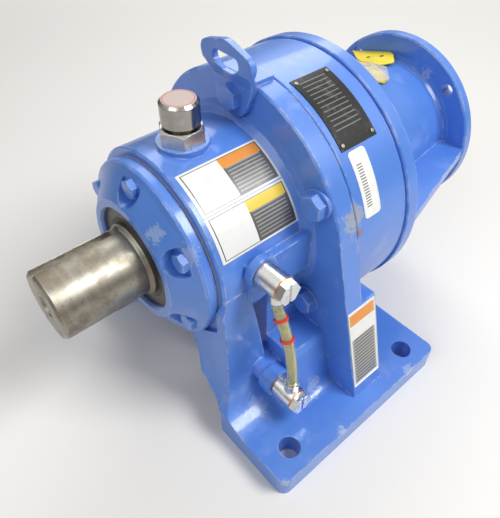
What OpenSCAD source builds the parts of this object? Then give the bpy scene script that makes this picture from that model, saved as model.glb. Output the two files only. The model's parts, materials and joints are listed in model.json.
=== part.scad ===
// Foot-mounted cycloidal speed reducer, single reduction, with a C-face motor adapter.
// X runs along the shafts, with the output end at -X and the motor end at +X. Z is up.
// The origin is the centre of the foot-hole pattern, on the base face.

/* [Foot] */
// Height of the shaft axis above the base face
axis_z = 150; // [146:1:160]
// Length of the foot along the shafts
foot_length = 195; // [180:1:215]
// Width over both foot pads
foot_width = 330; // [320:1:350]
// Thickness of the foot pads
foot_thick = 22; // [16:1:26]
// Clear width between the two pads
foot_gap = 176; // [160:1:190]
// Spacing of the foot holes along the shafts
foot_pitch_x = 145; // [130:1:155]
// Spacing of the foot holes across the shafts
foot_pitch_y = 290; // [280:1:296]
// Diameter of the foot holes
foot_hole_d = 18; // [14:1:22]
// Clear width of the tunnel between the legs
tunnel_width = 120; // [100:1:130]

/* [Casing] */
// Place of the casing flange's front face, from the foot's centre
flange_x = 1; // [-4:1:6]
// Outer diameter of the casing flange and the ring housing
housing_d = 226; // [222:1:236]
// Thickness of the casing flange
flange_thick = 18; // [15:1:22]
// Outer diameter of the casing's drum
drum_d = 160; // [156:1:166]
// Length of the drum, from the cover joint to the flange
drum_length = 82; // [80:1:90]
// Thickness of the casing's walls
casing_wall = 8; // [7:0.5:10]
// Thickness of the two front webs
web_thick = 11; // [8:1:13]

/* [Housing bolts] */
// Bolt circle diameter of the housing bolts
housing_pcd = 200; // [198:1:204]
// Number of housing bolts
housing_bolts_n = 6; // [6:1:6]
// Thread diameter of the housing bolts
housing_bolt_d = 12; // [10:1:12]

/* [Front cover] */
// Diameter of the cover's outer band
cover_d = 148; // [144:1:156]
// Length of the cover in front of its joint
cover_length = 25; // [22:1:28]
// Bolt circle diameter of the cover bolts
cover_pcd = 124; // [123:1:127]
// Number of cover bolts
cover_bolts_n = 6; // [4:1:8]
// Thread diameter of the cover bolts
cover_bolt_d = 8; // [6:1:8]

/* [Output shaft] */
// Diameter of the output shaft end
output_d = 55; // [45:1:58]
// Length of the output shaft in front of the cover
output_length = 70; // [60:1:90]
// Width of the output keyway
output_key_w = 16; // [12:1:16]
// Depth of the output keyway
output_key_depth = 6; // [4:0.5:7]
// Diameter of the flange that carries the output pins
carrier_d = 132; // [126:1:136]

/* [Ring housing] */
// Length of the ring housing
ring_length = 57; // [54:1:62]
// Diameter of the circle of ring pins
ring_circle_d = 160; // [160:0.5:161]
// Diameter of the rollers on the ring pins
ring_roller_d = 15; // [14:0.5:15.5]
// Diameter of the ring pins
ring_pin_d = 9; // [8:0.5:10]

/* [Cycloid drive] */
// Number of lobes on each cycloid disc, which is the reduction ratio
lobes = 11; // [11:2:13]
// Eccentricity of the discs
eccentricity = 4; // [3:0.5:4]
// Thickness of each disc
disc_thick = 16; // [14:0.5:17]
// Gap between the two discs
disc_gap = 4; // [3:0.5:5]
// Clearance between a disc and the ring rollers
disc_clearance = 0.12; // [0.1:0.02:0.3]
// Diameter of the circle of output pins
output_circle_d = 102; // [101:0.5:103]
// Diameter of the output pins
output_pin_d = 12; // [10:0.5:13]
// Diameter of the drive rollers on the output pins
drive_roller_d = 18; // [16:0.5:18]
// Diameter of each eccentric
eccentric_d = 50; // [48:0.5:51]
// Diameter of the rollers between the eccentric and its disc
eccentric_roller_d = 8; // [7:0.5:8]

/* [Input shaft] */
// Diameter of the motor shaft that the input shaft takes
motor_shaft_d = 22.225; // [15.875:0.025:25]
// Outer diameter of the input shaft's motor end
quill_d = 38; // [36:1:39]
// Depth of the motor shaft's bore
motor_bore_depth = 54; // [45:1:60]
// Width of the motor shaft's keyway
motor_key_w = 4.8; // [4:0.1:6]

/* [Motor adapter] */
// Length of the adapter, from its joint to the motor face
adapter_length = 137; // [132:1:150]
// Outer diameter of the adapter's joint flange
adapter_flange_d = 230; // [226:1:236]
// Thickness of the adapter's joint flange
adapter_flange_thick = 13; // [11:1:15]
// Outer diameter of the motor flange
motor_flange_d = 170; // [166:1:180]
// Thickness of the motor flange
motor_flange_thick = 11; // [10:1:14]
// Diameter of the motor's pilot
motor_pilot_d = 114.3; // [110:0.1:116]
// Width of the motor flange outside its bolt circle
motor_rim = 10.4; // [9.5:0.1:12]
// Diameter of the motor bolt holes
motor_hole_d = 11; // [9:0.5:12]

/* [Fittings] */
// Place of the breather and the oil gauge, from the foot's centre
service_x = -50; // [-50:1:-49]
// Width across flats of the breather's hex
breather_hex = 30; // [24:1:32]
// Diameter of the breather's cap
breather_cap_d = 28; // [24:1:30]
// Outer diameter of the gauge's sight tube
tube_d = 9; // [8:0.5:10]
// Height of the gauge's upper fitting above the base
gauge_top_z = 165; // [162:1:166]
// Height of the gauge's lower fitting above the base
gauge_low_z = 49; // [46:1:52]
// Outer diameter of the lifting eye
eye_d = 54; // [50:1:58]

/* [Fits] */
// Radial clearance of a running fit
running_fit = 0.05; // [0.03:0.01:0.08]
// Thickness of the gaskets
gasket = 0.5; // [0.3:0.1:1]

/* [Hidden] */
$fn = 96;

// A small overrun for cuts
over = 1;
// Colours
enamel = "#2f63c4";
steel = "#b9b9b4";
dark_steel = "#77787a";
zinc = "#c9cccf";
brass = "#b79a4a";
rubber = "#1d1d1f";

// Stations along the shafts
cover_x = flange_x - drum_length;
seam_x = flange_x + flange_thick;
ring_x = seam_x + gasket;
ring_end_x = ring_x + ring_length;
adapter_x = ring_end_x + gasket;
motor_face_x = adapter_x + adapter_length;
cover_face_x = cover_x - gasket - cover_length;
shaft_end_x = cover_face_x - output_length;

// Ball bearings: bore, outer diameter, width, ball diameter, number of balls
output_front = [60, 110, 22, 16, 10];
output_rear = [65, 120, 23, 17, 10];
input_front = [25, 52, 15, 8, 9];
input_rear = [40, 80, 18, 12, 9];
// The outer ring of the front output bearing stands this far behind the cover joint
cover_spigot = 2;
output_front_x = cover_x + cover_spigot;
bearing_shoulder = 4;
output_rear_x = flange_x - 6 - output_rear[2];

// The cycloid drive's stations
carrier_x = flange_x + 3;
land_thick = 9;
land_gap = 2.5;
disc_a_x = ring_x + land_thick + land_gap;
disc_b_x = disc_a_x + disc_thick + disc_gap;
disc_end_x = disc_b_x + disc_thick;
carrier_end_x = disc_a_x - 4;
spigot_x = disc_end_x + 3;
input_front_x = carrier_end_x - 2 - input_front[2];
input_rear_x = adapter_x + 15;
roller_x = carrier_end_x + 3;
roller_end_x = disc_end_x + 1;
pins_n = lobes + 1;
output_pins_n = 6;
eccentric_rollers_n = 12;
ring_r = ring_circle_d / 2;
disc_bore_r = eccentric_d / 2 + eccentric_roller_d;
drive_hole_r = drive_roller_d / 2 + eccentricity + running_fit;
eccentric_pitch_r = eccentric_d / 2 + eccentric_roller_d / 2;

// Shafts
seal_seat_d = output_front[0];
key_turn = 28;
spacer_d = output_rear[0] + 6;
input_seat_d = 35;
input_collar_d = 44;
hub_r = input_rear[1] / 2 + 10;
seal_width = 10;
seal_bore_d = 85;
input_seal_d = 62;
input_seal_width = 8;
input_seal_x = input_rear_x + input_rear[2] + 2;

// Motor flange
motor_pcd = motor_flange_d - 2 * motor_rim;

// Casing details
eye_lug_r = eye_d * 0.3;
eye_pad_low = 90;
eye_pad_w = 38;
bell_step = 39;
// Corners of the arch under the drum, as [distance from the middle, height]
arch_top = [36, 84];
arch_side = [43.7, 57.3];
arch_corner = [[47, 48], [51, 42.5]];
arch_foot = [67, 37.5];
riser_in = 47;
riser_low = axis_z - 43;
flange_r = housing_d / 2;
drum_r = drum_d / 2;
skirt_top_r = drum_r + 7;
web_y = drum_r + 4;
sump_y = drum_r - 2;
leg_top_z = 75;
leg_y = 110;
block_low_z = axis_z - 13;
block_top_z = axis_z + 22;
leg_fillet = 38;
elbow_r = 10;
web_front_x = cover_x - 3.5;
web_lean = 0.16;
web_end_x = service_x - 10;
block_x = service_x + 12;
tower_end_x = flange_x + 34;
tower_top_z = axis_z - 36;
bolt_head = 0.66;
housing_head_h = 0.66 * housing_bolt_d;
washer_h = 2.5;
washer_d = 2 * housing_bolt_d;
pocket_floor_x = cover_face_x + 12.5;

// ---------- shared shapes ----------

// Places its children on the shaft axis, with their Z along +X
module on_axis(x = 0) {
    translate([x, 0, axis_z]) rotate([0, 90, 0]) children();
}

// A ring or disc about the shaft axis
module disc_x(x0, x1, r, hole = 0) {
    on_axis(x0) difference() {
        cylinder(h = x1 - x0, r = r);
        if (hole > 0) translate([0, 0, -over]) cylinder(h = x1 - x0 + 2 * over, r = hole);
    }
}

// A revolved shape about the shaft axis, from [radius, x] points
module revolved(points) {
    on_axis() rotate_extrude() polygon(points);
}

// Copies its children round the shaft axis at radius r: their Z points outward
module around(count, r, first = 0) {
    for (i = [0 : count - 1])
        translate([0, 0, axis_z]) rotate([first + i * 360 / count, 0, 0]) translate([0, 0, r]) children();
}

// A cylinder along X from x0 to x1
module rod_x(x0, x1, r) {
    translate([x0, 0, 0]) rotate([0, 90, 0]) cylinder(h = x1 - x0, r = r);
}

// A cylinder along -Y from y0 down to y1
module rod_y(y0, y1, r) {
    translate([0, y0, 0]) rotate([90, 0, 0]) cylinder(h = y0 - y1, r = r);
}

// An outline in Y and Z, made solid from x0 to x1
module slab_x(x0, x1) {
    translate([x0, 0, 0]) rotate([90, 0, 90]) linear_extrude(x1 - x0) children();
}

// An outline in X and Z, made solid from y0 to y1
module slab_y(y0, y1) {
    translate([0, y1, 0]) rotate([90, 0, 0]) linear_extrude(y1 - y0) children();
}

// Copies its children to the other side of the shaft axis
module both_sides() {
    children();
    mirror([0, 1, 0]) children();
}

// A hex-head bolt along +X, its head's seat at x = 0
module hex_bolt_x(d, flats, head_h, length) {
    translate([-head_h, 0, 0]) rotate([0, 90, 0]) intersection() {
        cylinder(h = head_h, d = flats / cos(30), $fn = 6);
        rotate_extrude() polygon([
            [0, 0], [flats / 2 - 0.5, 0], [flats / 2 + 2, 1.2], [flats / 2 + 2, head_h + over], [0, head_h + over]
        ]);
    }
    rod_x(-0.1, length, d / 2);
}

function pitch_r(b) = (b[0] + b[1]) / 4;

// Inner ring of a ball bearing, with its groove
module bearing_inner(b, x) {
    on_axis(x) rotate_extrude() difference() {
        translate([b[0] / 2, 0]) square([pitch_r(b) - 0.3 * b[3] - b[0] / 2, b[2]]);
        translate([pitch_r(b), b[2] / 2]) circle(r = b[3] / 2 + running_fit);
    }
}

// Outer ring of a ball bearing, with its groove
module bearing_outer(b, x) {
    on_axis(x) rotate_extrude() difference() {
        translate([pitch_r(b) + 0.3 * b[3], 0]) square([b[1] / 2 - pitch_r(b) - 0.3 * b[3], b[2]]);
        translate([pitch_r(b), b[2] / 2]) circle(r = b[3] / 2 + running_fit);
    }
}

// Balls of a bearing, joined by their cage
module ball_set(b, x) {
    cage_w = 0.7 * b[3];
    cage_t = 0.12 * b[3];
    mid = x + b[2] / 2;
    disc_x(mid - cage_w / 2, mid + cage_w / 2, pitch_r(b) + cage_t, pitch_r(b) - cage_t);
    around(b[4], pitch_r(b)) translate([mid, 0, 0]) sphere(d = b[3]);
}

// ---------- casing ----------

// Outline of the casing flange: a round top on sides that spread to the foot
module flange_outline(top_z) {
    spread = foot_width / 2 - 15;
    shoulder_z = axis_z + flange_r * sin(19);
    shoulder_y = flange_r * cos(19);
    slope = (spread - shoulder_y) / (shoulder_z - foot_thick);
    top_y = spread - slope * (top_z - foot_thick);
    polygon([
        [-spread, foot_thick - over], [spread, foot_thick - over], [spread, foot_thick],
        [top_y, top_z], [-top_y, top_z], [-spread, foot_thick]
    ]);
}

// One foot pad, with its outer corners rounded
module foot_pad() {
    corner = 8;
    inner = foot_gap / 2;
    outer = foot_width / 2;
    half = foot_length / 2;
    linear_extrude(foot_thick) difference() {
        translate([-half, -outer]) square([foot_length, outer - inner]);
        for (side = [-1, 1]) translate([side * (half - corner), -outer + corner]) difference() {
            translate([side > 0 ? 0 : -corner - over, -corner - over]) square(corner + over);
            circle(r = corner);
        }
    }
}

// Front leg: a side web with a front wall, spread into the pad by round fillets
module front_leg() {
    half = foot_length / 2;
    inner = web_y - web_thick;
    root_z = foot_thick + leg_fillet;
    difference() {
        union() {
            // the web's outer face leans in at the top, to run into the drum
            intersection() {
                slab_y(-web_y, -inner) polygon([
                    [web_end_x + web_lean * axis_z, 0], [web_front_x, 0], [web_front_x, axis_z - 14],
                    [cover_x + 0.5, axis_z - 4], [cover_x + 0.5, axis_z], [web_end_x, axis_z]
                ]);
                slab_x(-half, block_x) polygon([
                    [-inner, -over], [-web_y, -over], [-web_y, axis_z - 36], [-drum_r - 0.4, axis_z + over],
                    [-inner, axis_z + over]
                ]);
            }
            translate([-half, -web_y - leg_fillet, foot_thick - over])
                cube([half + block_x, leg_fillet + web_thick, leg_fillet + over]);
            // front wall, with the arch's edge below
            slab_x(-half, web_front_x + casing_wall + 1) polygon([
                [-web_y, foot_thick + 10], [-arch_foot[0], arch_foot[1]], [-arch_corner[1][0], arch_corner[1][1]],
                [-arch_corner[0][0], arch_corner[0][1]], [-arch_side[0], arch_side[1]], [-arch_top[0], arch_top[1]],
                [-web_y + 1, axis_z - 30]
            ]);
        }
        translate([0, -web_y - leg_fillet, root_z]) rod_x(-half - over, block_x + over, leg_fillet);
        translate([web_front_x - leg_fillet, 0, root_z]) rod_y(0, -foot_width / 2, leg_fillet);
        translate([-half - over, -foot_width / 2, root_z]) cube([half + over + web_front_x, foot_width / 2, axis_z]);
        translate([-half - leg_fillet, -foot_width / 2, 0]) cube([leg_fillet, foot_width / 2, axis_z]);
        // inner side, spread towards the pad
        slab_x(-half - over, block_x + over) polygon([
            [-tunnel_width / 2, -over], [-foot_gap / 2, -over],
            [-foot_gap / 2, foot_thick + 8], [-inner - 6, foot_thick + 13], [-arch_foot[0], arch_foot[1] - 0.2],
            [-tunnel_width / 2, arch_foot[1]]
        ]);
        disc_x(-half, cover_x, cover_d / 2 + 1);
    }
}

// Lower leg block, which holds the oil behind the gauge's lower fitting
module leg_block() {
    fillet = leg_fillet / 3;
    slope = 8;
    difference() {
        slab_x(block_x, seam_x) polygon([
            [-tunnel_width / 2, foot_thick - over], [-leg_y - slope - fillet, foot_thick - over],
            [-leg_y - slope - fillet, foot_thick + fillet], [-leg_y - slope, foot_thick + fillet],
            [-leg_y, leg_top_z - 4], [-leg_y + 4, leg_top_z], [-tunnel_width / 2, leg_top_z]
        ]);
        translate([0, -leg_y - slope - fillet, foot_thick + fillet]) rod_x(block_x - over, seam_x + over, fillet);
    }
}

// Rear tower below the flange, thicker than the flange itself
module rear_tower() {
    difference() {
        slab_x(flange_x, tower_end_x) flange_outline(tower_top_z);
        disc_x(seam_x, tower_end_x + over, flange_r + 1.5);
    }
}

module casing_outside() {
    cone = 7;
    revolved([
        [0, cover_x], [drum_r - 1.5, cover_x], [drum_r, cover_x + 1.5], [drum_r, flange_x - cone],
        [skirt_top_r - 3, flange_x - 2], [skirt_top_r + 2, flange_x], [flange_r - 1.5, flange_x],
        [flange_r, flange_x + 1.5], [flange_r, seam_x - 0.8], [flange_r - 0.8, seam_x], [0, seam_x]
    ]);
    slab_x(flange_x, seam_x) flange_outline(axis_z + flange_r * sin(19));
    rear_tower();
    // sump walls under the drum
    translate([block_x, -sump_y, leg_top_z - 9])
        cube([flange_x - block_x + over, 2 * sump_y, axis_z - leg_top_z + 9]);
    // flat seat of the gauge's upper fitting and its match on the other side
    translate([web_end_x, -web_y, block_low_z])
        cube([flange_x - web_end_x + over, 2 * web_y, block_top_z - block_low_z]);
    both_sides() {
        foot_pad();
        front_leg();
        leg_block();
    }
    // boss under the breather
    translate([service_x, 0, axis_z + drum_r - 14]) cylinder(h = 17, r = breather_hex / 2 + 4);
    // pad under the lifting eye
    translate([flange_x, -eye_pad_w / 2, axis_z + eye_pad_low])
        cube([flange_thick - 1, eye_pad_w, flange_r + 2 - eye_pad_low]);
    // gauge bosses
    translate([service_x, 0, gauge_top_z]) rod_y(-web_y + 4, gauge_top_seat, 13);
    both_sides() {
        translate([service_x, 0, gauge_low_z]) rod_y(-leg_y + 14, gauge_low_seat, 13);
        // elbow from the boss to the leg block
        translate([service_x, 0, gauge_low_z]) rod_y(-web_y + 5.5, -leg_y + 13, elbow_r);
        translate([0, -web_y - 6, gauge_low_z]) rod_x(service_x, block_x + over, elbow_r);
    }
}

// Seats of the gauge's fittings
gauge_top_seat = -web_y - 2;
gauge_low_seat = -leg_y + 2;

module casing_inside() {
    chamber_r = drum_r - 12;
    front_end = output_front_x + output_front[2];
    // bearing bores and the chamber between them
    revolved([
        [0, cover_x - over], [output_front[1] / 2, cover_x - over], [output_front[1] / 2, front_end],
        [output_front[1] / 2 - 6, front_end], [output_front[1] / 2 - 6, front_end + bearing_shoulder],
        [chamber_r, front_end + bearing_shoulder], [chamber_r, output_rear_x - bearing_shoulder],
        [output_rear[1] / 2 - 7, output_rear_x - bearing_shoulder], [output_rear[1] / 2 - 7, output_rear_x],
        [output_rear[1] / 2, output_rear_x], [output_rear[1] / 2, flange_x - 3],
        [carrier_d / 2 + 4, flange_x - 3], [carrier_d / 2 + 4, seam_x + over], [0, seam_x + over]
    ]);
    // threaded holes for the cover bolts
    around(cover_bolts_n, cover_pcd / 2) rod_x(cover_x - over, cover_x + 18, cover_bolt_d / 2);
    // housing bolt holes and room for their heads
    around(housing_bolts_n, housing_pcd / 2) {
        rod_x(flange_x - over, seam_x + over, housing_bolt_d / 2 + 0.5);
        rod_x(flange_x - 18, flange_x, washer_d / 2 + 0.5);
    }
    // spot face under the lifting eye
    around(1, housing_pcd / 2) rod_x(flange_x - eye_thick - 12, flange_x, eye_lug_r + 0.5);
    both_sides() {
        for (side = [-1, 1]) translate([side * foot_pitch_x / 2, -foot_pitch_y / 2, -over])
            cylinder(h = foot_thick + 2 * over, d = foot_hole_d);
        // oil chamber in the leg and its riser to the drum
        translate([block_x + casing_wall - 2, -leg_y + 12, foot_thick + 12])
            cube([flange_x - block_x - 16, leg_y - 12 - tunnel_width / 2 - casing_wall, leg_top_z - foot_thick - 20]);
        translate([0, -web_y - 4, gauge_low_z]) rod_x(service_x, block_x + casing_wall, 5);
        slab_x(block_x + 3, block_x + 11) polygon([
            [-riser_in, riser_low], [-sump_y + casing_wall, riser_low], [-sump_y + casing_wall, leg_top_z + 4],
            [-leg_y + 36, leg_top_z - 12], [-tunnel_width / 2 - 5, leg_top_z - 12], [-riser_in, leg_top_z + 4]
        ]);
    }
    // passages of the gauge, the drain and the breather, with spot faces for the lower fittings
    both_sides() translate([service_x, 0, gauge_low_z]) rod_y(gauge_low_seat, -foot_width / 2, 14);
    translate([service_x, 0, gauge_top_z]) rod_y(-chamber_r + 10, gauge_top_seat - over, 5);
    translate([service_x, 0, gauge_low_z]) rod_y(-web_y + 1, gauge_low_seat - over, 5);
    mirror([0, 1, 0]) translate([service_x, 0, gauge_low_z]) rod_y(-web_y + 1, gauge_low_seat - over, 6);
    translate([service_x, 0, axis_z + chamber_r - 6]) cylinder(h = 40, r = 8);
}

module casing() {
    color(enamel) difference() {
        casing_outside();
        casing_inside();
        // tunnel between the legs
        translate([-foot_length / 2 - over, -tunnel_width / 2, -over])
            cube([foot_length + 2 * over, tunnel_width, axis_z - flange_r - 2 + over]);
    }
}

// ---------- front cover ----------

module front_cover() {
    back = cover_x - gasket;
    band = back - 9;
    color(enamel) difference() {
        revolved([
            [seal_bore_d / 2, cover_face_x + 2], [seal_bore_d / 2 + 1.5, cover_face_x], [50, cover_face_x],
            [cover_d / 2 - 5, band - 2.6], [cover_d / 2 - 1, band - 0.4], [cover_d / 2, band + 1.6],
            [cover_d / 2, back - 1], [cover_d / 2 - 1, back],
            [output_front[1] / 2 - 0.02, back], [output_front[1] / 2 - 0.02, output_front_x],
            [output_front[1] / 2 - 6, output_front_x], [output_front[1] / 2 - 6, back - 4],
            [seal_seat_d / 2 + 4, back - 4], [seal_seat_d / 2 + 4, seal_x + seal_width],
            [seal_bore_d / 2, seal_x + seal_width]
        ]);
        around(cover_bolts_n, cover_pcd / 2) {
            rod_x(cover_face_x - over, pocket_floor_x, 1.4 * cover_bolt_d);
            rod_x(pocket_floor_x - over, back + over, cover_bolt_d / 2 + 0.4);
        }
    }
}

// Front face of the oil seal
seal_x = cover_face_x + 4;

module cover_gasket() {
    color("#5c4a34") difference() {
        disc_x(cover_x - gasket, cover_x, cover_d / 2, output_front[1] / 2);
        around(cover_bolts_n, cover_pcd / 2) rod_x(cover_x - gasket - over, cover_x + over, cover_bolt_d / 2 + 0.4);
    }
}

module cover_bolts() {
    color(zinc) around(cover_bolts_n, cover_pcd / 2)
        translate([pocket_floor_x, 0, 0])
            hex_bolt_x(cover_bolt_d, 1.625 * cover_bolt_d, bolt_head * cover_bolt_d, cover_x + 16 - pocket_floor_x);
}

module seal_case() {
    inner = seal_seat_d / 2 + 4;
    color(steel) revolved([
        [inner, seal_x], [seal_bore_d / 2, seal_x], [seal_bore_d / 2, seal_x + seal_width],
        [seal_bore_d / 2 - 1.5, seal_x + seal_width], [seal_bore_d / 2 - 1.5, seal_x + 1.5], [inner, seal_x + 1.5]
    ]);
}

module seal_lip() {
    lip_r = seal_seat_d / 2 + running_fit;
    case_r = seal_seat_d / 2 + 4;
    color(rubber) revolved([
        [lip_r, seal_x - 0.5], [lip_r + 2, seal_x - 0.5], [case_r, seal_x], [case_r, seal_x + 1.5],
        [case_r + 5, seal_x + 1.5], [case_r + 3, seal_x + 4], [lip_r + 2, seal_x + seal_width - 1],
        [lip_r, seal_x + seal_width - 2]
    ]);
}

// ---------- ring housing ----------

module ring_housing() {
    bore_r = ring_r + 2;
    pocket_x = ring_x + land_thick - 0.6;
    color(enamel) difference() {
        revolved([
            [ring_r - 8, ring_x], [flange_r - 0.8, ring_x], [flange_r, ring_x + 0.8], [flange_r, ring_end_x - 1],
            [flange_r - 1, ring_end_x], [ring_r + 8, ring_end_x], [ring_r + 8, spigot_x],
            [bore_r, spigot_x], [bore_r, ring_x + land_thick], [ring_r - 8, ring_x + land_thick]
        ]);
        around(pins_n, ring_r) {
            rod_x(pocket_x, spigot_x + over, ring_roller_d / 2 + running_fit);
            rod_x(ring_x + 2, pocket_x + over, ring_pin_d / 2);
        }
        around(housing_bolts_n, housing_pcd / 2) rod_x(ring_x - over, ring_end_x + over, housing_bolt_d / 2 + 0.5);
    }
}

module housing_gaskets() {
    color("#5c4a34") for (spot = [[seam_x, carrier_d / 2 + 4], [ring_end_x, ring_r + 8]]) difference() {
        disc_x(spot[0], spot[0] + gasket, flange_r - 1.5, spot[1]);
        around(housing_bolts_n, housing_pcd / 2)
            rod_x(spot[0] - over, spot[0] + gasket + over, housing_bolt_d / 2 + 0.5);
    }
}

module ring_pins() {
    color(steel) around(pins_n, ring_r) rod_x(ring_x + 2, adapter_x - 2, ring_pin_d / 2);
}

module ring_rollers() {
    color(dark_steel) around(pins_n, ring_r) difference() {
        rod_x(ring_x + land_thick - 0.3, spigot_x - 0.3, ring_roller_d / 2);
        rod_x(ring_x + land_thick - over, spigot_x, ring_pin_d / 2 + running_fit);
    }
}

// ---------- motor adapter ----------

module motor_adapter() {
    flange_end = adapter_x + adapter_flange_thick;
    bell_r = flange_r - bell_step;
    bell_end_r = motor_pilot_d / 2 + 4;
    motor_back = motor_face_x - motor_flange_thick;
    wall = casing_wall + 1;
    hub_end = input_seal_x + input_seal_width + 4;
    color(enamel) difference() {
        union() {
            revolved([
                [ring_r - 6, spigot_x], [ring_r + 8 - running_fit, spigot_x], [ring_r + 8 - running_fit, adapter_x],
                [adapter_flange_d / 2 - 1, adapter_x], [adapter_flange_d / 2, adapter_x + 1],
                [adapter_flange_d / 2, flange_end - 1.5], [adapter_flange_d / 2 - 1.5, flange_end],
                [bell_r + 5, flange_end], [bell_r + 1, flange_end + 1.5], [bell_r, flange_end + 5],
                [bell_end_r, motor_back - 5], [bell_end_r + 1.5, motor_back - 1.5], [bell_end_r + 5, motor_back],
                [motor_flange_d / 2 - 1.5, motor_back], [motor_flange_d / 2, motor_back + 1.5],
                [motor_flange_d / 2, motor_face_x - 2], [motor_flange_d / 2 - 2, motor_face_x],
                [motor_pilot_d / 2, motor_face_x], [motor_pilot_d / 2, motor_face_x - 6],
                [bell_end_r - wall, motor_face_x - 6], [bell_end_r - wall, motor_back],
                [bell_r - wall, flange_end + 10], [hub_r, flange_end + 10], [hub_r, hub_end],
                [input_seal_d / 2, hub_end], [input_seal_d / 2, input_seal_x], [quill_d / 2 + 4, input_seal_x],
                [quill_d / 2 + 4, input_seal_x - 2], [input_rear[1] / 2, input_seal_x - 2],
                [input_rear[1] / 2, adapter_x], [ring_r - 6, adapter_x]
            ]);
            // gussets on both sides and below
            for (turn = [90, 180, 270]) translate([0, 0, axis_z]) rotate([turn, 0, 0])
                slab_y(-5, 5) polygon([
                    [flange_end - over, bell_r - 4], [flange_end - over, adapter_flange_d / 2 - 2],
                    [motor_back + over, motor_flange_d / 2 - 1], [motor_back + over, bell_end_r - 4]
                ]);
        }
        // groove of the snap ring
        disc_x(input_rear_x - snap_w, input_rear_x, input_rear[1] / 2 + 1.5);
        around(pins_n, ring_r) rod_x(spigot_x - over, adapter_x - 2, ring_pin_d / 2);
        around(housing_bolts_n, housing_pcd / 2) rod_x(adapter_x - over, adapter_x + 11, housing_bolt_d / 2);
        around(4, motor_pcd / 2, 45) rod_x(motor_back - over, motor_face_x + over, motor_hole_d / 2);
    }
}

// Width of the snap ring in front of the rear input bearing
snap_w = 2;

module bearing_snap_ring() {
    color(dark_steel) difference() {
        disc_x(input_rear_x - snap_w, input_rear_x, input_rear[1] / 2 + 1.5, input_rear[1] / 2 - 3);
        translate([input_rear_x - snap_w - over, -7, axis_z + 20]) cube([snap_w + 2 * over, 14, 40]);
    }
}

module input_seal() {
    color(rubber) revolved([
        [quill_d / 2 + running_fit, input_seal_x], [input_seal_d / 2, input_seal_x],
        [input_seal_d / 2, input_seal_x + input_seal_width],
        [quill_d / 2 + running_fit, input_seal_x + input_seal_width]
    ]);
}

// ---------- bolts and the lifting eye ----------

eye_thick = 5;
eye_joggle = 6;

// One housing bolt, its head's seat a distance in front of the flange
module housing_bolt(seat) {
    translate([flange_x - seat, 0, 0])
        hex_bolt_x(housing_bolt_d, 1.5 * housing_bolt_d, housing_head_h, adapter_x + 10 - flange_x + seat);
}

module housing_bolts() {
    color(zinc) for (i = [0 : housing_bolts_n - 1])
        around(1, housing_pcd / 2, i * 360 / housing_bolts_n) housing_bolt(i == 0 ? eye_thick : washer_h);
}

// The top bolt has no washer: the lifting eye's seat takes its place
module bolt_washers() {
    color(zinc) for (i = [1 : housing_bolts_n - 1])
        around(1, housing_pcd / 2, i * 360 / housing_bolts_n) difference() {
            rod_x(flange_x - washer_h, flange_x, washer_d / 2);
            rod_x(flange_x - washer_h - over, flange_x + over, housing_bolt_d / 2 + 0.5);
        }
}

// A plate held by the top housing bolt, joggled forward above it
module lifting_eye() {
    bolt_z = axis_z + housing_pcd / 2;
    corner = 8;
    top_z = bolt_z + 41;
    bend_z = bolt_z + 10;
    front = flange_x - eye_thick;
    color(enamel) difference() {
        intersection() {
            slab_x(front - eye_joggle - over, flange_x + over) difference() {
                hull() {
                    translate([0, bolt_z]) circle(r = eye_lug_r, $fn = 48);
                    for (side = [-1, 1]) translate([side * (eye_d / 2 - corner), top_z - corner - 5]) circle(r = corner, $fn = 32);
                    translate([0, top_z - 17]) circle(r = 17, $fn = 48);
                }
                hull() for (spot = [[9, 10], [4, 14]], side = [-1, 1])
                    translate([side * spot[0], top_z - spot[1] - 4]) circle(r = 5, $fn = 32);
            }
            slab_y(-eye_d, eye_d) polygon([
                [flange_x, bolt_z - eye_d], [flange_x, bend_z - 1], [flange_x - eye_joggle, bend_z + 11],
                [flange_x - eye_joggle, top_z + over], [front - eye_joggle, top_z + over],
                [front - eye_joggle, bend_z + 12], [front, bend_z], [front, bolt_z - eye_d]
            ]);
        }
        translate([0, 0, bolt_z]) rod_x(front - over, flange_x + over, housing_bolt_d / 2 + 0.5);
    }
}

// ---------- breather ----------

breather_z = axis_z + drum_r + 3;

module breather_body() {
    hex_h = 11;
    color(steel) translate([service_x, 0, breather_z]) {
        translate([0, 0, -14]) cylinder(h = 14, r = 8);
        intersection() {
            cylinder(h = hex_h, d = breather_hex / cos(30), $fn = 6);
            rotate_extrude() polygon([
                [0, 0], [breather_hex / 2 + 3, 0], [breather_hex / 2 + 3, hex_h - 2], [breather_hex / 2 - 0.5, hex_h], [0, hex_h]
            ]);
        }
        translate([0, 0, hex_h]) cylinder(h = 4, d = breather_cap_d - 8);
    }
}

module breather_cap() {
    cap_h = 18;
    color("#d8d4c8") translate([service_x, 0, breather_z + 12.5]) rotate_extrude() polygon([
        [breather_cap_d / 2 - 4 + 0.02, 0], [breather_cap_d / 2 - 1, 0], [breather_cap_d / 2, 1],
        [breather_cap_d / 2, cap_h - 2], [breather_cap_d / 2 - 2, cap_h], [0, cap_h],
        [0, 2.5], [breather_cap_d / 2 - 4 + 0.02, 2.5]
    ]);
}

// ---------- oil gauge ----------

// Places its children at the upper or the lower fitting, with their Z along -Y, seat at 0
module at_gauge(top) {
    translate([service_x, top ? gauge_top_seat : gauge_low_seat, top ? gauge_top_z : gauge_low_z])
        rotate([90, 0, 0]) children();
}

banjo_r = 10;
banjo_h = 19;
copper_h = 1;
stub_h = 7;
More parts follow.
